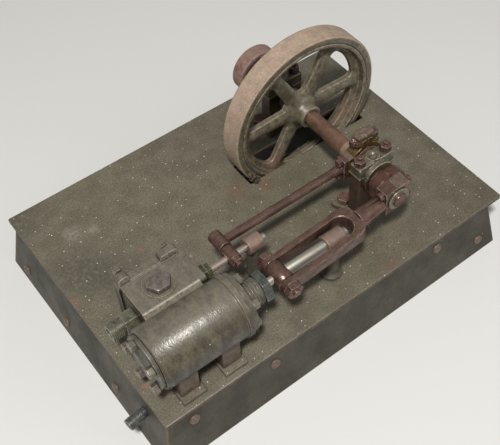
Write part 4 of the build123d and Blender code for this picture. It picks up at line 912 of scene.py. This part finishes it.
wheel_radius = (wheel_high.z - wheel_low.z) / 2
tread_depth = 1.3
rim_side_facing = 0.9


def on_tread(middle, normal):
    """Whether a face of the wheel is on its turned tread."""
    away = Vector((middle.x - wheel_middle.x, middle.z - wheel_middle.z)).length
    return away > wheel_radius - tread_depth and abs(normal.y) < rim_side_facing


paint_faces(flywheel, 1, on_tread)

# Lumps of old grease and grit cling to the near edge of the rim where it dips into the slot
crud_from_side = 1.2
crud_from_tread = 2.6
crud_half_width = 1.6
rim_middle = Vector((wheel_middle.x, wheel_low.y + crud_from_side, wheel_middle.z))
crud = []
for turned_by, size in ((204, 1.7), (209, 2.3), (214, 1.9), (218, 1.5)):
    angle = math.radians(turned_by)
    spot = rim_middle + Vector((math.cos(angle), 0.0, math.sin(angle))) * (wheel_radius - crud_from_tread)
    half = Vector((size, crud_half_width, size))
    crud.append((spot - half, spot + half, 0))
rim_grit = weathered(
    "greasy_rim_grit", "544838", "3f3529", "8a7862", "5f4232", roughness=0.5, edge=0.8, patch=2.6,
    grain=0.9, relief=0.16, rusting=0.2, wear=0.7)
crusted("rim_crud", crud, "crankshaft", "cast_iron", rim_grit)

# Drive pulley
# A small cast pulley on the far end of the shaft, faced with a recess on both sides, dry and rusty.
pulley_iron = weathered(
    "rusty_pulley_iron", "8d7064", "75594e", "ad9487", "6f4436", roughness=0.55, metal=0.1,
    patch=4.0, grain=0.8, relief=0.07, rusting=0.35, dust=("a08a7c", 0.3))
finished("pulley", "cast_iron", pulley_iron)

# Exhaust pipe
# A thin steel pipe from under the cylinder, out through the left wall into a threaded sleeve.
exhaust_steel = weathered(
    "threaded_exhaust_steel", "6b6c66", "4d4e49", "c8c4ba", "6a4d3e", roughness=0.34, metal=0.55, edge=0.5,
    patch=3.0, grain=0.6, rusting=0.15, wear=0.9)
finished("exhaust_pipe", "bright_steel", exhaust_steel)

# The sleeve's thread starts just inside its open end, and the pipe lies a little askew
sleeve_turn = math.radians(8.5)
sleeve_line = Vector((math.cos(sleeve_turn), math.sin(sleeve_turn), 0.0))
sleeve_tip = Vector((-159.88, -78.8, 28.0))
sleeve_thread_start = 1.0
sleeve_thread_radius = 4.2
sleeve_thread_length = 9.6
sleeve_thread_turns = 9.0
sleeve_thread_ridge = 0.32
threaded("exhaust_thread", sleeve_tip + sleeve_line * sleeve_thread_start, sleeve_line, {
    "Radius": sleeve_thread_radius * MM, "Length": sleeve_thread_length * MM, "Turns": sleeve_thread_turns,
    "Ridge": sleeve_thread_ridge * MM, "Finish": exhaust_steel})

# Floor, lamps and camera, the studio's own and no part of the engine
floor_size = 4.0
floor_drop = 0.0002
floor_colour = "d8d6d1"
floor_roughness = 0.9
bpy.ops.mesh.primitive_plane_add(size=floor_size, location=(0, 0, -floor_drop))
floor = bpy.context.object
floor.name = "studio_floor"
floor_paint = bpy.data.materials.new("studio_floor_paper")
floor_paint.use_nodes = True
floor_shader = floor_paint.node_tree.nodes["Principled BSDF"]
floor_shader.inputs["Base Color"].default_value = linear(floor_colour)
floor_shader.inputs["Roughness"].default_value = floor_roughness
floor.data.materials.append(floor_paint)

# The background is pale to the camera only, so that it doesn't light the engine too brightly
surround_strength = 0.26
backdrop_colour = "dedcd7"
world = bpy.data.worlds.new("studio")
bpy.context.scene.world = world
world.use_nodes = True
world_tree = world.node_tree
world_tree.nodes.clear()
surround = add(world_tree, "ShaderNodeBackground", {
    "Color": linear("ffffff"), "Strength": surround_strength})
backdrop = add(world_tree, "ShaderNodeBackground", {"Color": linear(backdrop_colour), "Strength": 1.0})
seen = add(world_tree, "ShaderNodeLightPath").outputs["Is Camera Ray"]
shown = add(world_tree, "ShaderNodeMixShader", {
    "Fac": seen, 1: surround.outputs["Background"], 2: backdrop.outputs["Background"]}).outputs["Shader"]
add(world_tree, "ShaderNodeOutputWorld", {"Surface": shown})


def soft_lamp(name, place, target, side, power):
    """A square soft box that faces the engine."""
    light = bpy.data.lights.new(name, "AREA")
    light.size = side
    light.energy = power
    lamp = bpy.data.objects.new(name, light)
    bpy.context.scene.collection.objects.link(lamp)
    lamp.location = place
    lamp.rotation_euler = (Vector(target) - Vector(place)).to_track_quat("-Z", "Y").to_euler()


lit_middle = (0.0, 0.0, 0.06)
key_place = (-0.48, -0.55, 1.45)
fill_place = (0.7, -0.9, 0.7)
soft_lamp("key", key_place, lit_middle, side=0.16, power=24.0)
soft_lamp("fill", fill_place, lit_middle, side=0.8, power=2.0)

# The camera stands where the photograph's did, measured from the front left corner of the base plate
image_width = 500
focal_pixels = 865.0
sensor = 36.0
shift_across = -0.08
shift_upward = 0.015
nearest_seen = 0.01
forward = Vector((0.37587, 0.47853, -0.79356))
upward = Vector((0.49545, 0.61990, 0.60848))
eye_from_corner = Vector((-0.08170, -0.23155, 0.50718))
plate_corner = Vector((plate_low.x, plate_low.y, plate_high.z)) * MM
eye = plate_corner + eye_from_corner
camera_data = bpy.data.cameras.new("camera")
camera_data.sensor_width = sensor
camera_data.lens = focal_pixels / image_width * sensor
camera_data.shift_x = shift_across
camera_data.shift_y = shift_upward
camera_data.clip_start = nearest_seen
camera = bpy.data.objects.new("camera", camera_data)
bpy.context.scene.collection.objects.link(camera)
rightward = forward.cross(upward).normalized()
above = rightward.cross(forward).normalized()
turn = Matrix((rightward, above, -forward.normalized())).transposed()
camera.matrix_world = Matrix.Translation(eye) @ turn.to_4x4()
bpy.context.scene.camera = camera
bpy.context.scene.view_settings.view_transform = "Standard"
